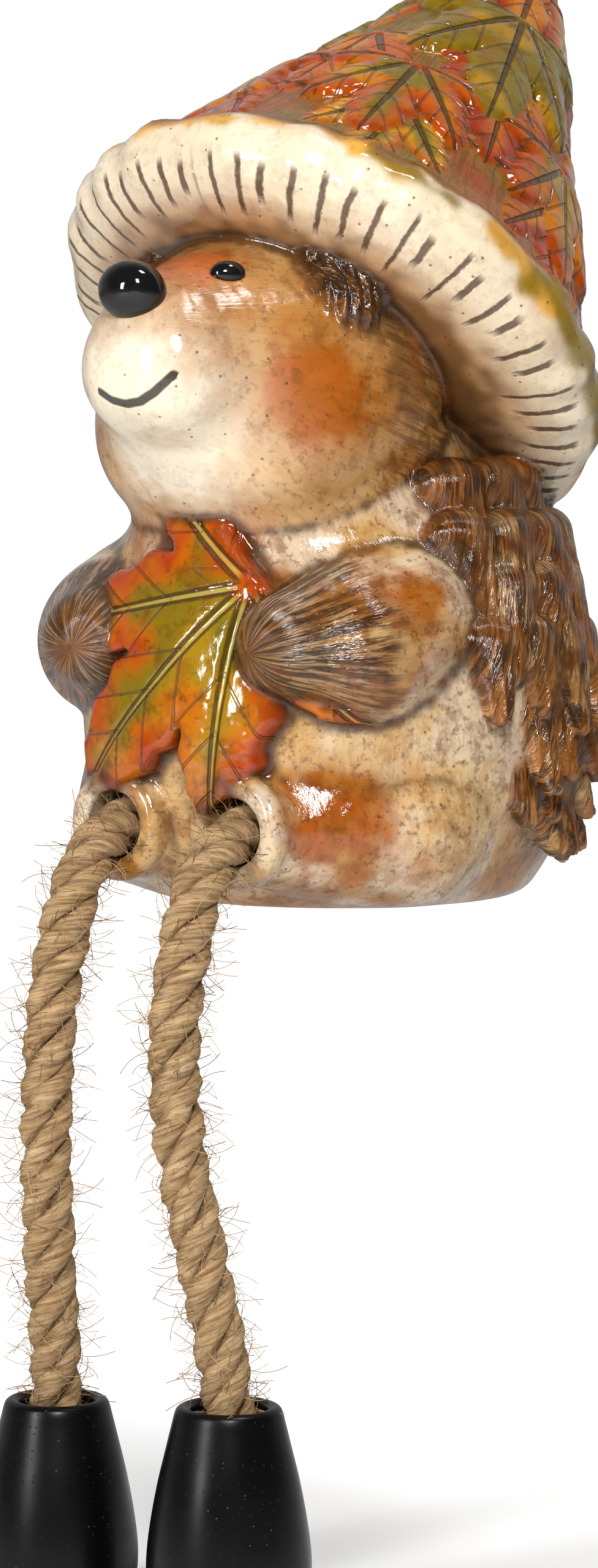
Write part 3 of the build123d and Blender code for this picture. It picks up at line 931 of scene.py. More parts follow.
def figure_grid(figure, voxel):
    """The whole figure's field on a grid, and the grid's low corner."""
    low = np.array(GRID_LOW)
    high = np.array(GRID_HIGH)
    count = np.ceil((high - low) / voxel).astype(int)
    axes = [(low[axis] + voxel * np.arange(count[axis])).astype(np.float32) for axis in range(3)]
    field = np.empty(count, np.float32)
    flat = np.stack(np.meshgrid(axes[0], axes[1], indexing="ij"), axis=-1)
    for first in range(0, count[2], GRID_LAYERS):
        heights = axes[2][first:first + GRID_LAYERS]
        block = np.empty((count[0], count[1], len(heights), 3), np.float32)
        block[..., :2] = flat[:, :, None, :]
        block[..., 2] = heights
        field[:, :, first:first + GRID_LAYERS] = figure.whole(block)
    for place in figure.quills:
        corner = np.floor((place[0] - QUILL_REACH - low) / voxel).astype(int).clip(0)
        far = np.minimum(np.ceil((place[0] + QUILL_REACH - low) / voxel).astype(int), count)
        span = tuple(slice(a, b) for a, b in zip(corner, far))
        block = np.stack(np.meshgrid(*(axes[axis][span[axis]] for axis in range(3)), indexing="ij"), axis=-1)
        field[span] = joined(field[span], figure.quill(block, place), QUILL_FILLET)
    return field, low


def softened(field, reach):
    """Mean of a field over a cube, along one axis after another."""
    for axis in range(3):
        total = np.cumsum(field, axis=axis, dtype=np.float32)
        ahead = np.roll(total, -reach, axis=axis)
        behind = np.roll(total, reach + 1, axis=axis)
        field = (ahead - behind) / (2 * reach + 1)
    return field


def sampled(field, low, voxel, points):
    """A grid's values at points."""
    spot = np.clip((points - low) / voxel, 0, np.array(field.shape) - 1.001)
    cell = spot.astype(np.int32)
    part = (spot - cell).astype(np.float32)
    value = np.zeros(len(points), np.float32)
    for corner in np.ndindex(2, 2, 2):
        weight = np.ones(len(points), np.float32)
        for axis in range(3):
            weight *= part[:, axis] if corner[axis] else 1 - part[:, axis]
        value += weight * field[tuple(cell[:, axis] + corner[axis] for axis in range(3))]
    return value


def blotch(points, size, seed):
    """Soft random patches between 0 and 1."""
    lattice = np.random.default_rng(seed).random((LATTICE, LATTICE, LATTICE)).astype(np.float32)
    spot = np.asarray(points) / size
    cell = np.floor(spot).astype(np.int32)
    part = spot - cell
    part = part * part * (3 - 2 * part)
    value = np.zeros(len(spot))
    for corner in np.ndindex(2, 2, 2):
        weight = np.ones(len(spot))
        for axis in range(3):
            weight = weight * (part[:, axis] if corner[axis] else 1 - part[:, axis])
        value += weight * lattice[tuple((cell[:, axis] + corner[axis]) % LATTICE for axis in range(3))]
    return value


def spread(values, quads):
    """Values at a mesh's points, each averaged with its neighbours'."""
    total = np.zeros_like(values)
    count = np.zeros(len(values))
    mean = values[quads].mean(axis=1)
    for corner in range(4):
        np.add.at(total, quads[:, corner], mean)
        np.add.at(count, quads[:, corner], 1)
    return total / np.maximum(count, 1)[:, None]


def brushed(base, colour, share):
    """Lays a colour over others by a share."""
    return base + (np.asarray(colour) - base) * np.reshape(np.clip(share, 0, 1), (-1, 1))


def near(points, centre, reach):
    """1 at a point, falling to 0 over a distance."""
    return np.exp(-np.sum(((points - np.asarray(centre)) / np.asarray(reach)) ** 2, axis=1))


def plain(points, colour):
    """One colour for every point."""
    return np.tile(np.asarray(colour, float), (len(points), 1))


# Soft patches of paint on both sides: colour, strength, centre and reach
PATCHES = {
    BODY: (
        ("rust", 0.85, (25.0, -37.0, 15.0), (10.0, 10.0, 8.0)),
        ("red", 0.25, (25.0, -37.0, 15.0), (7.0, 8.0, 6.0)),
        ("cream", 0.9, (35.0, -20.0, 16.0), (8.0, 10.0, 9.0)),
        ("cream", 0.7, (30.0, -32.0, 30.0), (9.0, 12.0, 8.0)),
        ("white", 0.55, (14.0, -47.0, 13.0), (8.0, 4.0, 8.0)),
        ("orange", 0.45, (6.0, -42.0, 60.0), (9.0, 6.0, 5.0)),
        ("cream", 0.85, (0.0, -44.0, 10.0), (9.0, 8.0, 9.0)),
    ),
    HEAD_SKIN: (
        ("rust", 0.95, (21.5, -37.5, 80.0), (10.0, 9.0, 9.0)),
        ("orange", 0.80, (21.5, -38.0, 79.0), (9.0, 8.0, 8.0)),
        ("rust", 0.75, (22.0, -36.5, 78.0), (8.5, 8.0, 7.5)),
        ("orange", 1.15, (3.0, -46.0, 100.0), (8.0, 9.0, 6.0)),
        ("cream", 0.45, (20.0, -34.0, 66.0), (10.0, 10.0, 7.0)),
        ("brown", 0.95, (19.0, -24.0, 99.0), (4.0, 5.0, 7.0)),
        ("brown", 0.70, (26.5, -21.0, 84.0), (4.0, 5.0, 9.0)),
        ("yellow", 0.35, (12.0, -46.0, 68.0), (8.0, 7.0, 4.0)),
    ),
    LEFT_ARM: (("rust", 0.85, (32.0, -31.0, 48.0), (9.0, 9.0, 6.0)),),
    RIGHT_ARM: (("rust", 0.85, (32.0, -31.0, 48.0), (9.0, 9.0, 6.0)),),
    HAT_SKIN: (("brown", 0.90, (20.0, -25.0, 102.0), (4.0, 5.0, 7.0)),),
}
# White of the muzzle: strength, centre and reach
MUZZLE = ((1.0, (0.0, -57.0, 79.0), (16.0, 13.0, 12.5)), (0.65, (0.0, -48.0, 68.0), (14.0, 12.0, 9.0)))
# The painted smile, across and up, on what lies in front of a depth
SMILE = ((-4.6, 80.6), (-2.4, 79.3), (0.4, 78.7), (3.2, 79.1), (5.8, 80.4), (7.8, 82.0), (9.0, 83.2))
SMILE_Y = -46.0
INK_REACH = 3.0
# Radius of the hat's rim, and the mean distance between its notches
RIM_EDGE = 46.4
NOTCH_PITCH = 5.2
# Colours that the materials lay over the paint
STAINS = {
    "stroke": (0.03, 0.013, 0.005),
    "cloud": (0.25, 0.075, 0.008),
    "mottle": (0.13, 0.042, 0.008),
    "grit": (0.10, 0.033, 0.007),
    "bare": (0.46, 0.19, 0.045),
    "dots": (0.07, 0.032, 0.014),
    "notch": (0.075, 0.032, 0.012),
    "ink": (0.012, 0.009, 0.007),
}
# Colours that the leaf material lays over the paint; the ridge colour is a painted highlight along the main
# veins
LEAF_STAINS_AND_HIGHLIGHT = {
    "cloud": (0.22, 0.05, 0.004),
    "mottle": (0.09, 0.032, 0.005),
    "grit": (0.07, 0.025, 0.005),
    "trench": (0.045, 0.02, 0.004),
    "rib": (0.06, 0.024, 0.005),
    "ridge": (0.56, 0.44, 0.10),
}


def smile_ink(points):
    """1 on the painted smile, falling to 0 over a short reach."""
    flat = points[:, [0, 2]]
    best = np.full(len(points), INK_REACH)
    for first, second in zip(np.array(SMILE), np.array(SMILE[1:])):
        edge = second - first
        share = np.clip(((flat - first) @ edge) / (edge @ edge), 0, 1)
        best = np.minimum(best, np.linalg.norm(flat - first - share[:, None] * edge, axis=1))
    return np.where(points[:, 1] < SMILE_Y, 1 - best / INK_REACH, 0.0)


def body_paint(points, tint, colours):
    """Paint of the body: pale in front, brown under the quills, and painted shade that darkens the inside of
    the leg holes.
    """
    back = ramp(points[:, 1], -12, 4) * ramp(points[:, 2], 2, 12)
    tint = brushed(tint, colours["white"], 0.55 * ramp(blotch(points, 7.0, 13), 0.35, 0.65))
    tint = brushed(tint, colours["brown"], 0.85 * back)
    tint = brushed(tint, colours["brown"], 0.2 * ramp(points[:, 2], 5, 0))
    # Painted shade: the dark colour deepens inside each leg hole, towards its back
    bore = np.hypot(np.abs(points[:, 0]) - KNEE[0], points[:, 2] - KNEE[2]) < LEG_HOLE + 0.7
    tint = brushed(tint, colours["dark"], 0.85 * bore * ramp(points[:, 1], -44.5, -39.5))
    return tint, 0.22 + 0.5 * back, np.array(points)


def head_paint(points, tint, colours):
    """Paint of the head, with strokes that run back from the snout."""
    rel = points - HEAD
    along = rel @ FACE_AXIS
    grain = np.stack([along, np.arctan2(rel[:, 0], rel @ FACE_UP) * 24, 0 * along], axis=1)
    streak = 0.12 + 0.5 * ramp(points[:, 1], -32.0, -18.0)
    return brushed(tint, colours["tan"], 0.65), streak, grain


def arm_paint(points, tint, colours, side, fine):
    """Paint of one arm, with strokes along it, and the share of each point in the dark paw."""
    start = np.array(mirrored(SHOULDER, side))
    axis = np.array(mirrored(PAW, side)) - start
    length = np.linalg.norm(axis)
    axis = axis / length
    rel = points - start
    along = rel @ axis
    tint = brushed(tint, colours["white"], 0.5 * ramp(blotch(points, 7.0, 13), 0.3, 0.6))
    paw = ramp(along + 7 * (fine - 0.5), 0.35 * length, 0.7 * length)
    across = np.cross(axis, (0.0, 0.0, 1.0))
    turn = np.arctan2(rel @ across, rel @ np.cross(across, axis))
    return tint, 0.2 + 0.8 * paw, np.stack([along, turn * 11, 0 * along], axis=1), paw


def ear_paint(points, colours, fine):
    """Paint of an ear: dark upright strands."""
    tint = brushed(plain(points, colours["brown"]), colours["dark"], 0.35 + 0.65 * ramp(fine, 0.3, 0.6))
    sideways = points[:, 1] * 1.1 + points[:, 2] * 0.4
    grain = np.stack([points[:, 2] * 1.6, sideways, points[:, 0] * 0.3], axis=1)
    return tint, np.full(len(points), 0.95), grain


def quill_paint(points, place, colours, fine, dry):
    """Paint of one quill tuft, with its own mix of colours and slanted strokes."""
    root, outward, row = place
    rel = points - root
    kind = np.random.default_rng(int(abs(root[0] * 31 + root[2] * 7) * 10)).random(3)
    shade = 0.4 + 0.6 * kind[0] * ramp(rel[:, 2], -6, 2)
    tint = brushed(plain(points, colours["rust"]), colours["brown"], shade)
    tint = brushed(tint, colours["tan"], 0.7 * kind[1] * ramp(rel[:, 2] + 6 * (fine - 0.5), 6, -2))
    tint = brushed(tint, colours["cream"], 0.8 * kind[2] * ramp(fine + 0.4 * (dry - 0.5), 0.5, 0.7))
    across = np.cross(outward, (0.0, 0.0, 1.0))
    slant = (rel @ across) + (0.25 + 0.6 * (kind[1] - 0.5)) * rel[:, 2]
    grain = np.stack([rel[:, 2] * 1.8, slant * 1.7, 0 * slant + row * 7 + kind[0] * 40], axis=1)
    return tint, 0.7 + 0.3 * ramp(blotch(points, 3.0, 8), 0.3, 0.6), grain


def hat_paint(points, colours, patch, fine):
    """Paint of the hat: a pale rim, brown inside, with a painted fringe and crown."""
    away, turn, height = hat_place(points)
    crown = ramp(height + 4 * (patch - 0.5), 1.5, 6.5)
    tint = brushed(plain(points, colours["white"]), colours["cream"], 0.05 + 0.35 * patch)
    tint = brushed(tint, colours["tan"], 0.8 * ramp(away + 6 * (patch - 0.5), 43, 31) * (height < 0))
    tint = brushed(tint, colours["brown"], 0.8 * ramp(away + 8 * (fine - 0.5), 38, 29) * (height < 0))
    low = 3.0 * ramp(points[:, 2], 112.0, 92.0)
    fringe = ramp(height + low + 3 * (fine - 0.5), -0.8, 1.4)
    tint = brushed(tint, colours["yellow"], 0.9 * fringe * ramp(blotch(points, 4.5, 11), 0.36, 0.5))
    tint = brushed(tint, colours["olive"], 0.85 * fringe * ramp(blotch(points, 6.0, 12), 0.46, 0.6))
    tint = brushed(tint, colours["rust"], 0.95 * crown)
    tint = brushed(tint, colours["red"], 0.7 * crown * ramp(blotch(points, 10.0, 5), 0.5, 0.8))
    tint = brushed(tint, colours["olive"], 0.85 * crown * ramp(blotch(points, 12.0, 6), 0.42, 0.65))
    inward = RIM_EDGE - away
    run = np.where(height < 0, inward - 0.55 * height, -inward - 0.7 * height)
    return tint, 0.03 + 0.4 * crown, np.stack([run, turn * RIM_EDGE, 0 * away], axis=1)


def leaf_paint(points, axes, colours, patch, fine):
    """Paint of one leaf, from its heart out to its rim."""
    along, across, length, (heart, rim), inset = axes
    start = 0.06 if length < HELD_LEAF[3] else 0.04
    deep = ramp(inset + 0.08 * (patch - 0.5) + 0.07 * (fine - 0.5), start, start + 0.09)
    tint = brushed(plain(points, colours[rim]), colours[heart], deep)
    border = ramp(inset + 0.1 * (fine - 0.5), 0.08, 0.0)
    tint = brushed(tint, colours["red"], 0.8 * border * (heart != rim))
    tint = brushed(tint, colours["yellow"], 6.0 * start * ramp(blotch(points, 6.0, 9), 0.58, 0.75))
    return tint, np.zeros(len(points)), np.stack([along, across, np.full(len(points), length)], axis=1)


def painted(label, points, wash, axes, colours):
    """Colour, streak strength and grain of one label's points."""
    patch = blotch(points, 9.0, 1)
    fine = blotch(points, 2.6, 2)
    dry = ramp(blotch(points, 1.5, 4), 0.25, 0.75)
    base = ramp(patch + 0.4 * (fine - 0.5), 0.15, 0.7)
    tint = brushed(plain(points, colours["cream"]), colours["tan"], base)
    tint = brushed(tint, colours["brown"], 0.3 * ramp(blotch(points, 5.0, 3), 0.55, 0.85))
    paw = np.zeros(len(points))
    if label == BODY:
        tint, streak, grain = body_paint(points, tint, colours)
    elif label == HEAD_SKIN:
        tint, streak, grain = head_paint(points, tint, colours)
    elif label in (LEFT_ARM, RIGHT_ARM):
        side = 1 if label == LEFT_ARM else -1
        tint, streak, grain, paw = arm_paint(points, tint, colours, side, fine)
    elif label in (LEFT_EAR, RIGHT_EAR):
        tint, streak, grain = ear_paint(points, colours, fine)
    elif label == QUILLS:
        tint, streak, grain = quill_paint(points, axes, colours, fine, dry)
    elif label == HAT_SKIN:
        tint, streak, grain = hat_paint(points, colours, patch, fine)
    else:
        tint, streak, grain = leaf_paint(points, axes, colours, patch, fine)
    for name, strength, centre, reach in PATCHES.get(label, ()):
        for side in (-1, 1):
            share = near(points, mirrored(centre, side), reach)
            edge = ramp(share + 0.35 * (fine - 0.5) + 0.25 * (dry - 0.5), 0.22, 0.62)
            tint = brushed(tint, colours[name], strength * edge * (0.75 + 0.3 * dry))
    if label == HEAD_SKIN:
        muzzle = sum(share * near(points, centre, reach) for share, centre, reach in MUZZLE)
        tint = brushed(tint, colours["white"], 1.4 * muzzle * (0.85 + 0.3 * dry))
        streak = streak * (1 - np.clip(1.5 * muzzle, 0, 1))
    tint = brushed(tint, colours["brown"], 0.55 * paw)
    tint = brushed(tint, colours["dark"], 0.85 * ramp(wash + 0.4 * (dry - 0.5), 0.3, 0.8))
    return tint, np.clip(streak, 0, 1), grain


# Heart and rim colours of every crown leaf, in the order of the rings
LEAF_TINTS = (
    ("orange", "red"), ("yellow", "orange"), ("olive", "orange"), ("orange", "orange"), ("orange", "red"),
    ("olive", "orange"), ("red", "orange"), ("orange", "yellow"), ("olive", "orange"), ("orange", "red"),
    ("yellow", "orange"), ("yellow", "orange"), ("olive", "yellow"), ("orange", "yellow"), ("red", "orange"),
    ("olive", "yellow"), ("orange", "red"), ("olive", "orange"), ("olive", "orange"), ("yellow", "orange"),
    ("yellow", "orange"), ("olive", "orange"), ("olive", "orange"), ("orange", "red"), ("olive", "olive"),
    ("olive", "olive"), ("olive", "orange"),
)


def glaze_material(name, notched=False):
    """Painted and glazed earthenware, from the mesh's own colours."""
    material, tree, inputs = new_material(name)
    tint = attribute(tree, "tint", "Vector")
    streak = attribute(tree, "streak")
    grain = attribute(tree, "grain", "Vector")
    place = coordinates(tree)
    long_lines = noise(tree, stretched(tree, grain, (0.08, 0.8, 0.4)), 1.0, 4.0, 0.65)
    short_lines = noise(tree, stretched(tree, grain, (0.2, 1.9, 0.4)), 1.0, 3.0, 0.6)
    broad = (long_lines + streak * 0.07).step(0.53, 0.6)
    thin = (short_lines + streak * 0.06).step(0.56, 0.63)
    lines = (broad * 0.85 + thin * 0.6).math("MINIMUM", 0.95) * streak
    colour = mixed(tree, lines, tint, STAINS["stroke"])
    mottle = noise(tree, place, 240.0, 6.0, 0.7)
    cloud = noise(tree, place, 75.0, 9.0, 0.72, 0.4)
    worn = streak.step(0.0, 0.2) * 0.75 + 0.25
    grit = noise(tree, place, 800.0, 3.0, 0.6)
    colour = mixed(tree, cloud.step(0.49, 0.6) * worn * 0.5, colour, STAINS["cloud"])
    colour = mixed(tree, mottle.step(0.53, 0.63) * worn * 0.5, colour, STAINS["mottle"])
    colour = mixed(tree, grit.step(0.56, 0.66) * worn * 0.5, colour, STAINS["grit"])
    pale = (1.0 - long_lines.step(0.34, 0.48)) * streak.step(0.6, 0.9)
    colour = mixed(tree, pale * 0.3, colour, STAINS["bare"])
    dots = specks(tree, place, 520.0, 0.17)
    colour = mixed(tree, dots * 0.75, colour, STAINS["dots"])
    ripple = noise(tree, place, 150.0, 2.0)
    height = (long_lines + short_lines * 0.5) * streak * 1.3 + mottle * 0.14 + ripple * 1.1
    if notched:
        notch = rim_notches(tree, grain, mottle)
        colour = mixed(tree, notch * 0.9, colour, STAINS["notch"])
        height = height - notch * 1.6
    ink = attribute(tree, "ink").step(0.74, 0.84)
    colour = mixed(tree, ink * 0.93, colour, STAINS["ink"])
    plug(tree, colour, inputs["Base Color"])
    inputs["Roughness"].default_value = 0.09
    plug(tree, bumped(tree, height - ink * 0.5, 0.0007, 0.55), inputs["Normal"])
    return material


def rim_notches(tree, grain, wobble):
    """Short cuts across the hat's rim, uneven in place and length."""
    run, around, _ = split_up(tree, grain)
    cell = around / NOTCH_PITCH + wobble * 0.35
    chance = add_node(tree, "ShaderNodeTexWhiteNoise", {"noise_dimensions": "1D"}, {"W": cell.math("FLOOR")})
    odds = Sock(tree, chance.outputs["Value"])
    side = (cell.math("FRACT") - 0.5 - (odds - 0.5) * 0.35).math("ABSOLUTE") * NOTCH_PITCH
    start = 2.5 + odds * 2.5
    end = 17.0 - odds * 6.0
    inside = (run - start).step(0.0, 2.0) * (1.0 - (run - end).step(-1.5, 1.5))
    return (1.0 - (side - odds * 0.3).step(0.18, 0.6)) * inside


def leaf_material():
    """Glazed leaf with incised veins, from its own flat coordinates, and a painted highlight along the
    ridges of the main veins.
    """
    material, tree, inputs = new_material("leaf_glaze")
    tint = attribute(tree, "tint", "Vector")
    along, across, length = split_up(tree, attribute(tree, "grain", "Vector"))
    turn = across.math("ARCTAN2", along).math("ABSOLUTE") * (180 / math.pi)
    reach = (along * along + across * across).math("SQRT")
    lobe = turn.math("GREATER_THAN", 18.0) * 36.0 + turn.math("GREATER_THAN", 59.0) * 46.0
    bend = (turn - lobe) * (math.pi / 180)
    run = reach * bend.math("COSINE")
    side = (reach * bend.math("SINE")).math("ABSOLUTE")
    share = run / length
    large = length.step(38.0, 44.0)
    thick = share.fit(0.0, 1.0, 0.75, 0.3) - large * 0.12
    ridge = (1.0 - (side / thick).step(0.4, 0.75)) * run.step(1.5, 4.0)
    double = (side / thick).step(0.6, 0.9) * (1.0 - (side / thick).step(1.3, 2.1))
    single = 1.0 - (side / thick).step(0.5, 1.15)
    trench = (double * large + single * (1.0 - large)) * run.step(0.5, 3.0)
    spacing = length * 0.2
    ribs = ((run - side * 1.25) / spacing).math("FRACT")
    rib = (ribs - 0.5).math("ABSOLUTE") * spacing * 0.62
    inside = 1.0 - (side / (run * 0.42 + 0.3)).step(0.75, 1.0)
    short = inside * (1.0 - share.step(0.8, 0.92)) * share.step(0.12, 0.2)
    rib_line = (1.0 - rib.step(0.12, 0.34)) * short
    place = coordinates(tree)
    mottle = noise(tree, place, 300.0, 5.0, 0.65)
    cloud = noise(tree, place, 110.0, 8.0, 0.72, 0.3)
    grit = noise(tree, place, 700.0, 3.0, 0.6)
    colour = mixed(tree, cloud.step(0.5, 0.62) * 0.4, tint, LEAF_STAINS_AND_HIGHLIGHT["cloud"])
    colour = mixed(tree, mottle.step(0.52, 0.66) * 0.45, colour, LEAF_STAINS_AND_HIGHLIGHT["mottle"])
    colour = mixed(tree, grit.step(0.57, 0.68) * 0.4, colour, LEAF_STAINS_AND_HIGHLIGHT["grit"])
    colour = mixed(tree, trench * 0.8, colour, LEAF_STAINS_AND_HIGHLIGHT["trench"])
    colour = mixed(tree, rib_line * 0.45, colour, LEAF_STAINS_AND_HIGHLIGHT["rib"])
    # Painted highlight: a pale line along the ridge of each main vein on a large leaf, weaker towards the
    # tip
    lit = 0.5 - share.step(0.3, 0.8) * 0.35
    colour = mixed(tree, ridge * large * lit, colour, LEAF_STAINS_AND_HIGHLIGHT["ridge"])
    plug(tree, colour, inputs["Base Color"])
    inputs["Roughness"].default_value = 0.08
    ripple = noise(tree, place, 170.0, 2.0)
    height = ridge * large * 0.5 - trench * 0.9 - rib_line * 0.6 + mottle * 0.15 + ripple * 1.1
    plug(tree, bumped(tree, height, 0.0007, 0.7), inputs["Normal"])
    return material


class SitterPaint(bpy.types.PropertyGroup):
    """Colours of the painted figure."""

    white: bpy.props.FloatVectorProperty(
        name="White", description="Muzzle, hat rim and pale patches",
        default=(0.82, 0.72, 0.55), subtype="COLOR"
    )
    cream: bpy.props.FloatVectorProperty(
        name="Cream", description="Pale patches of the body", default=(0.60, 0.38, 0.155), subtype="COLOR"
    )
    tan: bpy.props.FloatVectorProperty(
        name="Tan", description="Face and body", default=(0.42, 0.175, 0.036), subtype="COLOR"
    )
    orange: bpy.props.FloatVectorProperty(
        name="Orange", description="Leaves", default=(0.47, 0.095, 0.002), subtype="COLOR"
    )
    rust: bpy.props.FloatVectorProperty(
        name="Rust", description="Blushes, quills and the ground between the leaves",
        default=(0.33, 0.082, 0.003), subtype="COLOR"
    )
    red: bpy.props.FloatVectorProperty(
        name="Red", description="Leaf edges", default=(0.34, 0.028, 0.002), subtype="COLOR"
    )
    yellow: bpy.props.FloatVectorProperty(
        name="Yellow", description="Dabs on the leaves", default=(0.70, 0.33, 0.012), subtype="COLOR"
    )
    olive: bpy.props.FloatVectorProperty(
        name="Olive", description="Green hearts of the leaves", default=(0.20, 0.135, 0.006), subtype="COLOR"
    )
    brown: bpy.props.FloatVectorProperty(
        name="Brown", description="Paws, ears and quills", default=(0.11, 0.040, 0.009), subtype="COLOR"
    )
    # Besides the wash in the hollows, this colour paints the shade inside the leg holes
    dark: bpy.props.FloatVectorProperty(
        name="Dark", description="Wash left in the hollows", default=(0.028, 0.011, 0.004), subtype="COLOR"
    )


class SITTER_OT_figure(bpy.types.Operator):
    """Models and paints the glazed figure, and divides it into its pieces"""

    bl_idname = "sitter.figure"
    bl_label = "Glazed figure"

    def execute(self, context):
        voxel = VOXEL
        figure = Figure()
        field, low = figure_grid(figure, voxel)
        band = 4 * voxel
        grid = openvdb.FloatGrid()
        grid.background = band
        grid.copyFromArray(np.clip(field, -band, band))
        points, quads = grid.convertToQuads(isovalue=0.0)
        points = points.astype(np.float64) * voxel + low
        quads = quads.astype(np.int64)
        reach = max(int(round(HOLLOW_REACH / voxel)), 1)
        broad = softened(np.clip(field, -HOLLOW_BAND, HOLLOW_BAND), reach)
        hollow = ramp(-sampled(broad, low, voxel, points), 0.12, 0.8)
        slopes = np.stack([
            sampled(np.gradient(field, voxel, axis=axis), low, voxel, points) for axis in range(3)
        ], axis=1)
        normals = slopes / np.maximum(np.linalg.norm(slopes, axis=1), 1e-6)[:, None]
        centres = points[quads].mean(axis=1).astype(np.float32)
        labels, detail = self.divide(figure, centres)
        glaze = glaze_material("glaze")
        rim = glaze_material("rim_glaze", notched=True)
        leaf = leaf_material()
        paints = context.scene.sitter_paint
        colours = {name: tuple(getattr(paints, name)) for name in SitterPaint.__annotations__}
        pieces = (
            ("body_glaze", BODY, glaze, "tan_glaze", ("body_casting",)),
            ("head_glaze", HEAD_SKIN, glaze, "tan_glaze", ("head",)),
            ("hat_glaze", HAT_SKIN, rim, "cream_glaze", ("hat",)),
            ("left_arm_glaze", LEFT_ARM, glaze, "tan_glaze", ("left_arm",)),
            ("right_arm_glaze", RIGHT_ARM, glaze, "tan_glaze", ("right_arm",)),
            ("left_ear_glaze", LEFT_EAR, glaze, "brown_glaze", ("left_ear",)),
            ("right_ear_glaze", RIGHT_EAR, glaze, "brown_glaze", ("right_ear",)),
            ("quills_glaze", QUILLS, glaze, "brown_glaze", ("back_quills",)),
            ("held_leaf_glaze", BELLY_LEAF, leaf, "leaf_glaze", ("held_leaf",)),
            ("hat_leaves_glaze", HAT_LEAF, leaf, "leaf_glaze", ("hat_leaves",)),
        )
        wash = np.clip(hollow + 0.75 * figure.seams(points.astype(np.float32)), 0, 1)
        paint = np.zeros((len(points), 5))
        blocks = {label: [] for _, label, _, _, _ in pieces}
        for label in blocks:
            chosen = labels == label
            for part in np.unique(detail[chosen]):
                faces = quads[chosen & (detail == part)]
                used, inverse = np.unique(faces, return_inverse=True)
                axes = self.local(figure, label, int(part), points[used])
                tint, streak, grain = painted(label, points[used], wash[used], axes, colours)
                paint[used] += np.column_stack([tint, streak, np.ones(len(used))])
                blocks[label].append((used, inverse.reshape(-1, 4), grain))
        paint = paint[:, :4] / np.maximum(paint[:, 4:], 1)
        paint = spread(paint, quads)
        for name, label, material, slot, nodes in pieces:
            used = np.concatenate([block[0] for block in blocks[label]])
            starts = np.cumsum([0] + [len(block[0]) for block in blocks[label]])
            faces = np.concatenate([block[1] + start for block, start in zip(blocks[label], starts)])
            obj = mesh_object(name, points[used], faces, material)
            add_vectors(obj.data, "tint", paint[used, :3])
            add_floats(obj.data, "streak", paint[used, 3])
            if label == HEAD_SKIN:
                add_floats(obj.data, "ink", smile_ink(points[used]))
            add_vectors(obj.data, "grain", np.concatenate([block[2] for block in blocks[label]]))
            obj.data.normals_split_custom_set_from_vertices(normals[used].tolist())
            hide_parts(*nodes)
            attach(obj, "figure")
        return {"FINISHED"}

    def divide(self, figure, centres):
        """Label and part number of every face."""
        parts = figure.parts(centres)
        order = list(parts)
        stack = np.stack([parts[label] for label in order])
        labels = np.array(order)[np.argmin(stack, axis=0)]
        best = np.min(stack, axis=0)
        detail = np.zeros(len(centres), int)
        for index, place in enumerate(figure.quills):
            close = np.nonzero(np.linalg.norm(centres - place[0], axis=1) < QUILL_REACH)[0]
            field = figure.quill(centres[close], place)
            ahead = field < best[close] - QUILL_LEAD
            won = close[ahead]
            best[won] = field[ahead]
            labels[won] = QUILLS
            detail[won] = index
        away, turn, height = hat_place(centres)
        crown = (labels == HAT_SKIN) & (height > LEAF_FOOT)
        for index, place in enumerate(figure.leaves):
            along, across = hat_leaf_flat(away, turn, height, place)
            length = place[4]
            edge = figure.leaf_table.read(along / length, across / length) * length
            on = crown & (edge < LEAF_MARGIN)
            labels[on] = HAT_LEAF
            detail[on] = index
        return labels, detail

    def local(self, figure, label, part, spots):
        """What a label's paint needs to know about its own axes."""
        if label == QUILLS:
            return figure.quills[part]
        if label == BELLY_LEAF:
            return self.leaf_axes(figure, *held_leaf_flat(spots), HELD_LEAF[3], ("olive", "orange"))
        if label == HAT_LEAF:
            flat = hat_leaf_flat(*hat_place(spots.astype(np.float32)), figure.leaves[part])
            return self.leaf_axes(figure, *flat, figure.leaves[part][4], LEAF_TINTS[part])
        return None

    def leaf_axes(self, figure, along, across, length, tints):
        """A leaf's flat coordinates, length and tints, and its points' distance from its edge."""
        return along, across, length, tints, -figure.leaf_table.read(along / length, across / length)


def bead(name, centre, axes, radii, material):
    """A smooth oval bead on three given axes."""
    rows, sides = 24, 48
    lift = np.linspace(0.02, np.pi - 0.02, rows)[:, None]
    turn = np.linspace(0, 2 * np.pi, sides, endpoint=False)[None, :]
    flat = np.stack([
        np.sin(lift) * np.cos(turn), np.sin(lift) * np.sin(turn), np.cos(lift) + 0 * turn,
    ], axis=-1)
    points, faces = tube(flat @ (np.asarray(axes) * np.asarray(radii)[:, None]) + np.asarray(centre))
    return mesh_object(name, points, faces, material)


def shiny_black():
    """Glossy black glaze that thins to brown in places, with a faint ripple."""
    material, tree, inputs = new_material("black_glaze")
    place = coordinates(tree)
    thin = noise(tree, place, 380.0, 4.0, 0.6)
    ripple = noise(tree, place, 210.0, 2.0)
    colour = mixed(tree, thin.step(0.5, 0.75), (0.005, 0.005, 0.005), (0.018, 0.011, 0.008))
    plug(tree, colour, inputs["Base Color"])
    plug(tree, thin.fit(0.3, 0.7, 0.04, 0.09), inputs["Roughness"])
    plug(tree, bumped(tree, ripple + thin * 0.2, 0.0005, 0.4), inputs["Normal"])
    return material


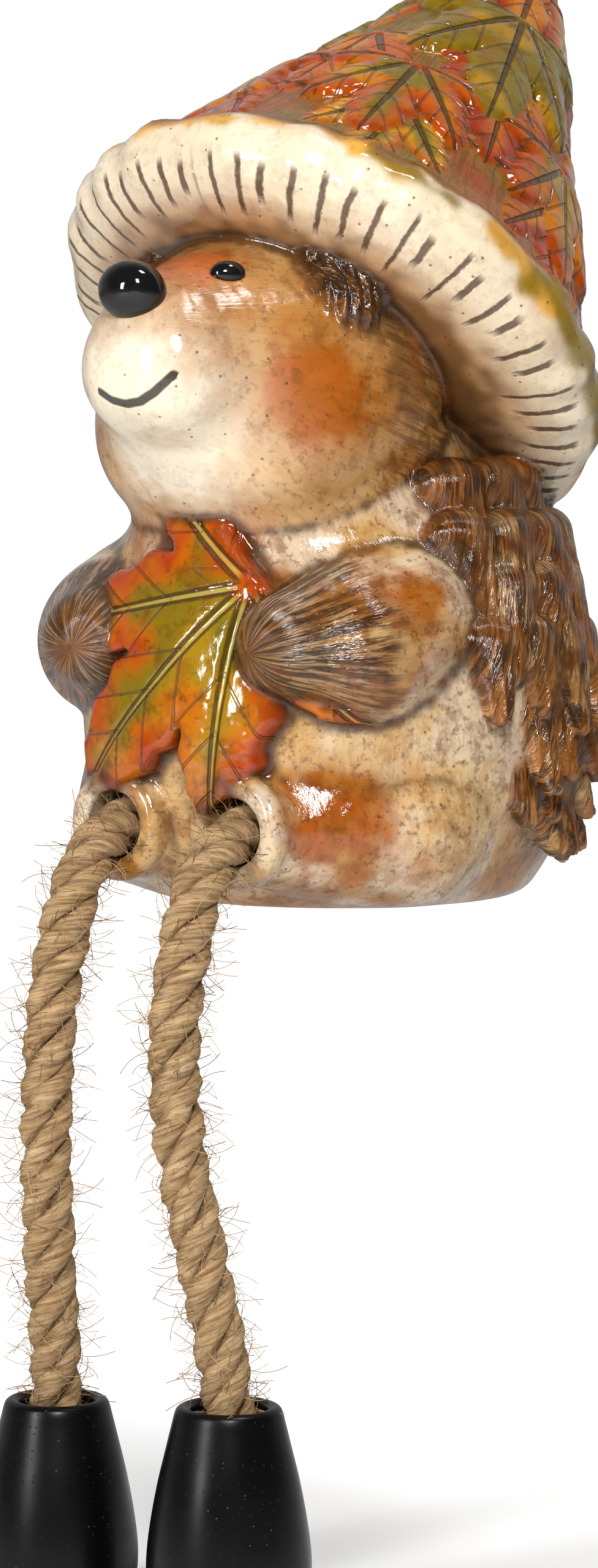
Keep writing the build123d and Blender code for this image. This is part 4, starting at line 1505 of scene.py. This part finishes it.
class SITTER_OT_face(bpy.types.Operator):
    """Sets the nose and the eyes"""

    bl_idname = "sitter.face"
    bl_label = "Nose and eyes"

    def execute(self, context):
        black = shiny_black()
        across = np.array((1.0, 0.0, 0.0))
        aim = FACE_AXIS * math.cos(NOSE_LIFT) + FACE_UP * math.sin(NOSE_LIFT)
        beads = [("nose", SNOUT + aim * NOSE_REACH, (across, np.cross(aim, across), aim), NOSE_RADII)]
        taper = math.asin((HEAD_RADIUS - SNOUT_RADIUS) / SNOUT_LENGTH)
        reach = (HEAD_RADIUS - EYE_STATION * math.sin(taper)) / math.cos(taper)
        for side, name in ((1, "left_eye"), (-1, "right_eye")):
            sideways = FACE_UP * math.cos(EYE_ROLL) + across * (side * math.sin(EYE_ROLL))
            gaze = FACE_AXIS * math.sin(taper) + sideways * math.cos(taper)
            level = np.cross(gaze, (0.0, 0.0, 1.0))
            level /= np.linalg.norm(level)
            centre = HEAD + FACE_AXIS * EYE_STATION + sideways * reach
            beads.append((name, centre, (level, np.cross(gaze, level), gaze), EYE_RADII))
        for name, centre, axes, radii in beads:
            obj = bead(f"{name}_glaze", centre, axes, radii, black)
            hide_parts(name)
            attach(obj, "figure")
        return {"FINISHED"}


def glue_material():
    """Cloudy amber glue with small bubbles."""
    material, tree, inputs = new_material("amber_glue")
    place = coordinates(tree)
    cloud = noise(tree, place, 300.0, 4.0)
    bubbles = specks(tree, place, 900.0, 0.2)
    colour = mixed(tree, cloud.step(0.35, 0.65), (0.30, 0.12, 0.025), (0.55, 0.30, 0.09))
    plug(tree, colour, inputs["Base Color"])
    plug(tree, cloud.fit(0.3, 0.7, 0.15, 0.35), inputs["Roughness"])
    plug(tree, bumped(tree, cloud - bubbles, 0.0003, 0.5), inputs["Normal"])
    return material


def boot_material():
    """Satin black with pinholes and a little dust."""
    material, tree, inputs = new_material("boot_black")
    place = coordinates(tree)
    dust = specks(tree, place, 700.0, 0.11)
    tint = tuple(bpy.context.scene.sitter_boots.tint)
    plug(tree, mixed(tree, dust * 0.5, tint, (0.16, 0.15, 0.14)), inputs["Base Color"])
    pits = specks(tree, stretched(tree, place, (1.3, 1.3, 1.3)), 900.0, 0.2)
    haze = noise(tree, place, 90.0, 3.0)
    plug(tree, haze.fit(0.3, 0.7, 0.25, 0.34) + dust * 0.4, inputs["Roughness"])
    inputs["Specular IOR Level"].default_value = 0.22
    plug(tree, bumped(tree, haze * 0.1 - pits, 0.0004, 0.5), inputs["Normal"])
    return material


class SitterBoots(bpy.types.PropertyGroup):
    """Look of the boots."""

    tint: bpy.props.FloatVectorProperty(
        name="Boot", description="Colour of the boots", default=(0.002, 0.002, 0.0024), subtype="COLOR"
    )
    width: bpy.props.FloatProperty(
        name="Boot width", description="Width at the widest place", default=0.0254, unit="LENGTH"
    )


class SITTER_OT_boots(bpy.types.Operator):
    """Turns both boots and colours the glue in them"""

    bl_idname = "sitter.boots"
    bl_label = "Boots"

    def execute(self, context):
        material = boot_material()
        widest = max(radius for radius, _ in BOOT_PROFILE)
        stretch = 0.5 * context.scene.sitter_boots.width / MM / widest
        turn = np.linspace(0, 2 * np.pi, BOOT_SIDES, endpoint=False)
        for side in ROUTES:
            above, end = np.array(ROUTES[side][-2:]) / MM
            rim = end + (above - end) / np.linalg.norm(above - end) * ROPE_INSERT
            rings = []
            for radius, height in smoothed(BOOT_PROFILE):
                wide = radius * stretch
                ring = np.stack([wide * np.cos(turn), wide * np.sin(turn), 0 * turn + height], axis=1)
                rings.append(ring + rim)
            points, faces = tube(np.array(rings))
            boot = mesh_object(f"{side}_boot_turned", points, faces, material)
            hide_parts(f"{side}_boot")
            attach(boot, f"{side}_shin")
        glue = glue_material()
        for side in ROUTES:
            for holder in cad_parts[f"{side}_glue"].material_slots:
                holder.material = glue
        return {"FINISHED"}


def smoothed(profile, steps=5):
    """A curve through a profile's points, with more points between them."""
    points = np.array(profile, float)
    padded = np.concatenate([[2 * points[0] - points[1]], points, [2 * points[-1] - points[-2]]])
    line = []
    for a, b, c, d in zip(padded, padded[1:], padded[2:], padded[3:]):
        for share in np.linspace(0, 1, steps, endpoint=False):
            cubic = share * (3 * (b - c) + d - a)
            square = share * (2 * a - 5 * b + 4 * c - d + cubic)
            line.append(b + 0.5 * share * (c - a + square))
    return [*line, points[-1]]


class SitterRope(bpy.types.PropertyGroup):
    """Sizes and colours of the rope legs."""

    diameter: bpy.props.FloatProperty(
        name="Rope diameter", description="Width of the laid rope", default=0.008, unit="LENGTH"
    )
    lay: bpy.props.FloatProperty(
        name="Lay length", description="Length of one full turn of a strand", default=0.0195, unit="LENGTH"
    )
    fuzz_density: bpy.props.FloatProperty(
        name="Fuzz density", description="Loose fibres to the square metre", default=280000.0
    )
    fuzz_length: bpy.props.FloatProperty(
        name="Fuzz length", description="Length of the longest loose fibre", default=0.0065, unit="LENGTH"
    )
    pale_tint: bpy.props.FloatVectorProperty(
        name="Pale fibre", description="Colour of the raised fibres",
        default=(0.66, 0.43, 0.21), subtype="COLOR"
    )
    dark_tint: bpy.props.FloatVectorProperty(
        name="Dark fibre", description="Colour between the fibres",
        default=(0.25, 0.13, 0.05), subtype="COLOR"
    )


def knot_lines(side):
    """The rope's end behind the leg hole and the turn wound round it, in metres."""
    start, following = np.array(ROUTES[side][:2])
    back = (start - following) / np.linalg.norm(start - following)
    across = np.cross(back, (1.0, 0.0, 0.0))
    across /= np.linalg.norm(across)
    over = np.cross(back, across)
    stub = start + back * np.linspace(0.0, KNOT_LENGTH, 20)[:, None]
    turn = np.linspace(0.5 * np.pi, 2.5 * np.pi, 73)[:, None]
    ring = start + back * KNOT_OFFSET + KNOT_TURN * (across * np.cos(turn) + over * np.sin(turn))
    return stub, ring


class SITTER_OT_legs(bpy.types.Operator):
    """Lays both ropes, their loose fibres and their knots"""

    bl_idname = "sitter.legs"
    bl_label = "Rope legs"

    def execute(self, context):
        material = jute_material()
        tree = fuzz_tree(material)
        for side in ROUTES:
            line, places = even_line(route_line(side), ROPE_STEP)
            frames = carried_frames(line)
            split = int(np.argmax(line[:, 2] < SPLIT_HEIGHT))
            halves = (
                ("upper", 0, split + 1, "figure", f"{side}_thigh", HIP_BLEND, (f"{side}_rope_upper",)),
                ("lower", split, len(line), f"{side}_thigh", f"{side}_shin", KNEE_BLEND,
                 (f"{side}_rope_middle", f"{side}_rope_lower")),
            )
            knots = []
            for part, bend in zip(("stub", "turn"), knot_lines(side)):
                bend, along = even_line(bend, ROPE_STEP)
                whole = carried_frames(bend)
                knot = rope_mesh(f"{side}_knot_{part}", bend, along, whole, 0, len(bend), material)
                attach(knot, "figure")
                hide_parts(f"{side}_knot")
                knots.append(knot)
            mouth = line[int(np.argmin(np.abs(line[:, 1] - LEG_EXIT_Y) + (line[:, 2] < 0)))]
            for part, first, last, above, below, reach, nodes in halves:
                rope = rope_mesh(f"{side}_rope_{part}_lay", line, places, frames, first, last, material)
                fuzz = grown(f"{side}_rope_{part}_fuzz", rope, tree)
                for obj in (rope, fuzz):
                    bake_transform(obj)
                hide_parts(*nodes)
                tuple(mouth if part == "upper" else line[split])
                [fuzz, *knots] if part == "upper" else [fuzz]
        return {"FINISHED"}


def camera_ray(tree):
    """1 for what the camera sees straight, 0 for light and reflections."""
    return Sock(tree, add_node(tree, "ShaderNodeLightPath", {}, {}).outputs["Is Camera Ray"])


def studio_light(name, place, aim, size, power):
    """A soft rectangular light that faces a point."""
    data = bpy.data.lights.new(name, "AREA")
    data.shape = "RECTANGLE"
    data.size, data.size_y = size
    data.energy = power
    lamp = link(name, data)
    lamp.location = place
    lamp.rotation_euler = (Vector(aim) - Vector(place)).to_track_quat("-Z", "Y").to_euler()


# Floor, in millimetres: its gap under the boots and half its width
FLOOR_GAP = 0.5
FLOOR_EDGE = 4000.0
# Light of the surroundings in front of the figure and behind it, apart from what the camera sees straight
AMBIENT = (0.06, 0.45)
# In metres: the camera's target, its height and shift to the left, and what the lights point at
TARGET_HEIGHT = 0.017
TARGET_SHIFT = 0.0087
FIGURE_MIDDLE = (0, -0.01, 0.07)
# Lights placed from the camera's target: way to the camera, way to the right, rise, size and power
LIGHTS = (("key", 0.7, 0.02, 0.38, (0.12, 0.2), 4.9), ("side", 0.5, -0.5, 0.12, (0.1, 0.3), 2.5))
TOP_LIGHT = ("top", (0.25, 0.0, 0.8), FIGURE_MIDDLE, (0.16, 0.16), 2.1)
# Half the picture's height and the focal length, in pixels of the photo
HALF_HEIGHT = 1280
FOCAL_LENGTH = 7500


class SitterStage(bpy.types.PropertyGroup):
    """Camera and floor."""

    azimuth: bpy.props.FloatProperty(
        name="Azimuth", description="Camera's turn from the face to the animal's left",
        default=math.radians(38.0), subtype="ANGLE"
    )
    elevation: bpy.props.FloatProperty(
        name="Elevation", description="Camera's height angle", default=math.radians(4.6), subtype="ANGLE"
    )
    distance: bpy.props.FloatProperty(
        name="Distance", description="Camera's distance", default=0.75, unit="LENGTH"
    )
    floor_tint: bpy.props.FloatVectorProperty(
        name="Floor", description="Colour of the floor", default=(0.93, 0.93, 0.93), subtype="COLOR"
    )


class SITTER_OT_stage(bpy.types.Operator):
    """Sets the floor, the lights and the photo's camera"""

    bl_idname = "sitter.stage"
    bl_label = "Stage"

    def execute(self, context):
        props = context.scene.sitter_stage
        scene = context.scene
        low = CAD_BOX[0][2] / MM - FLOOR_GAP
        view = (-math.sin(props.azimuth), math.cos(props.azimuth), 0.0)
        material, tree, inputs = new_material("floor")
        inputs["Base Color"].default_value = (*props.floor_tint, 1.0)
        inputs["Roughness"].default_value = 0.9
        inputs["Specular IOR Level"].default_value = 0.1
        inputs["Emission Strength"].default_value = 0.9
        place = coordinates(tree)
        away = vector_maths(tree, "DOT_PRODUCT", place, view, output="Value").step(-0.1, 0.3)
        far = vector_maths(tree, "LENGTH", place, output="Value").step(0.3, 0.8)
        glow = camera_ray(tree) * away.math("MAXIMUM", far)
        plug(tree, mixed(tree, glow, (0.0, 0.0, 0.0), (1.0, 1.0, 1.0)), inputs["Emission Color"])
        corners = [(x * FLOOR_EDGE, y * FLOOR_EDGE, low) for x, y in ((-1, -1), (1, -1), (1, 1), (-1, 1))]
        floor = mesh_object("floor", corners, [(0, 1, 2, 3)], material, smooth=False)

        world = bpy.data.worlds.new("studio")
        world.use_nodes = True
        tree = world.node_tree
        sky = coordinates(tree, "Generated")
        behind = vector_maths(tree, "DOT_PRODUCT", sky, view, output="Value").step(-0.1, 0.8)
        seen = camera_ray(tree)
        light = seen + (1.0 - seen) * behind.fit(0.0, 1.0, *AMBIENT)
        plug(tree, light, tree.nodes["Background"].inputs["Strength"])
        tree.nodes["Background"].inputs["Color"].default_value = (1.0, 1.0, 1.0, 1.0)
        scene.world = world

        right = Vector((math.cos(props.azimuth), math.sin(props.azimuth), 0))
        back = Vector((
            math.sin(props.azimuth) * math.cos(props.elevation),
            -math.cos(props.azimuth) * math.cos(props.elevation),
            math.sin(props.elevation),
        ))
        target = Vector((0, 0, TARGET_HEIGHT)) - right * TARGET_SHIFT
        for name, towards, sideways, rise, size, power in LIGHTS:
            spot = target + back * towards + right * sideways + Vector((0, 0, rise))
            studio_light(name, tuple(spot), FIGURE_MIDDLE, size, power)
        studio_light(*TOP_LIGHT)

        data = bpy.data.cameras.new("photo_camera")
        data.sensor_fit = "VERTICAL"
        data.angle = 2 * math.atan(HALF_HEIGHT / FOCAL_LENGTH)
        data.clip_start = 0.01
        camera = link("photo_camera", data)
        camera.location = target + back * props.distance
        camera.rotation_euler = (-back).to_track_quat("-Z", "Y").to_euler()
        scene.camera = camera
        scene.view_settings.view_transform = "Standard"
        return {"FINISHED"}


class SITTER_PT_panel(bpy.types.Panel):
    """Lists the pieces that can be built."""

    bl_idname = "SITTER_PT_panel"
    bl_label = "Shelf sitter"
    bl_space_type = "VIEW_3D"
    bl_region_type = "UI"
    bl_category = "Sitter"

    def draw(self, context):
        for operator in OPERATORS:
            self.layout.operator(operator.bl_idname)


OPERATORS = (SITTER_OT_figure, SITTER_OT_face, SITTER_OT_boots, SITTER_OT_legs, SITTER_OT_stage)
GROUPS = {
    "sitter_paint": SitterPaint,
    "sitter_boots": SitterBoots,
    "sitter_rope": SitterRope,
    "sitter_stage": SitterStage,
}


def register():
    """Adds the classes and the scene's settings."""
    for kind in (*GROUPS.values(), *OPERATORS, SITTER_PT_panel):
        bpy.utils.register_class(kind)
    for name, group in GROUPS.items():
        setattr(bpy.types.Scene, name, bpy.props.PointerProperty(type=group))


def unregister():
    """Removes them again."""
    for name in GROUPS:
        delattr(bpy.types.Scene, name)
    for kind in (SITTER_PT_panel, *OPERATORS, *GROUPS.values()):
        bpy.utils.unregister_class(kind)


def main():
    """Builds every piece."""
    register()
    bpy.ops.sitter.figure()
    bpy.ops.sitter.face()
    bpy.ops.sitter.boots()
    bpy.ops.sitter.legs()
    bpy.ops.sitter.stage()


if __name__ == "__main__":
    main()
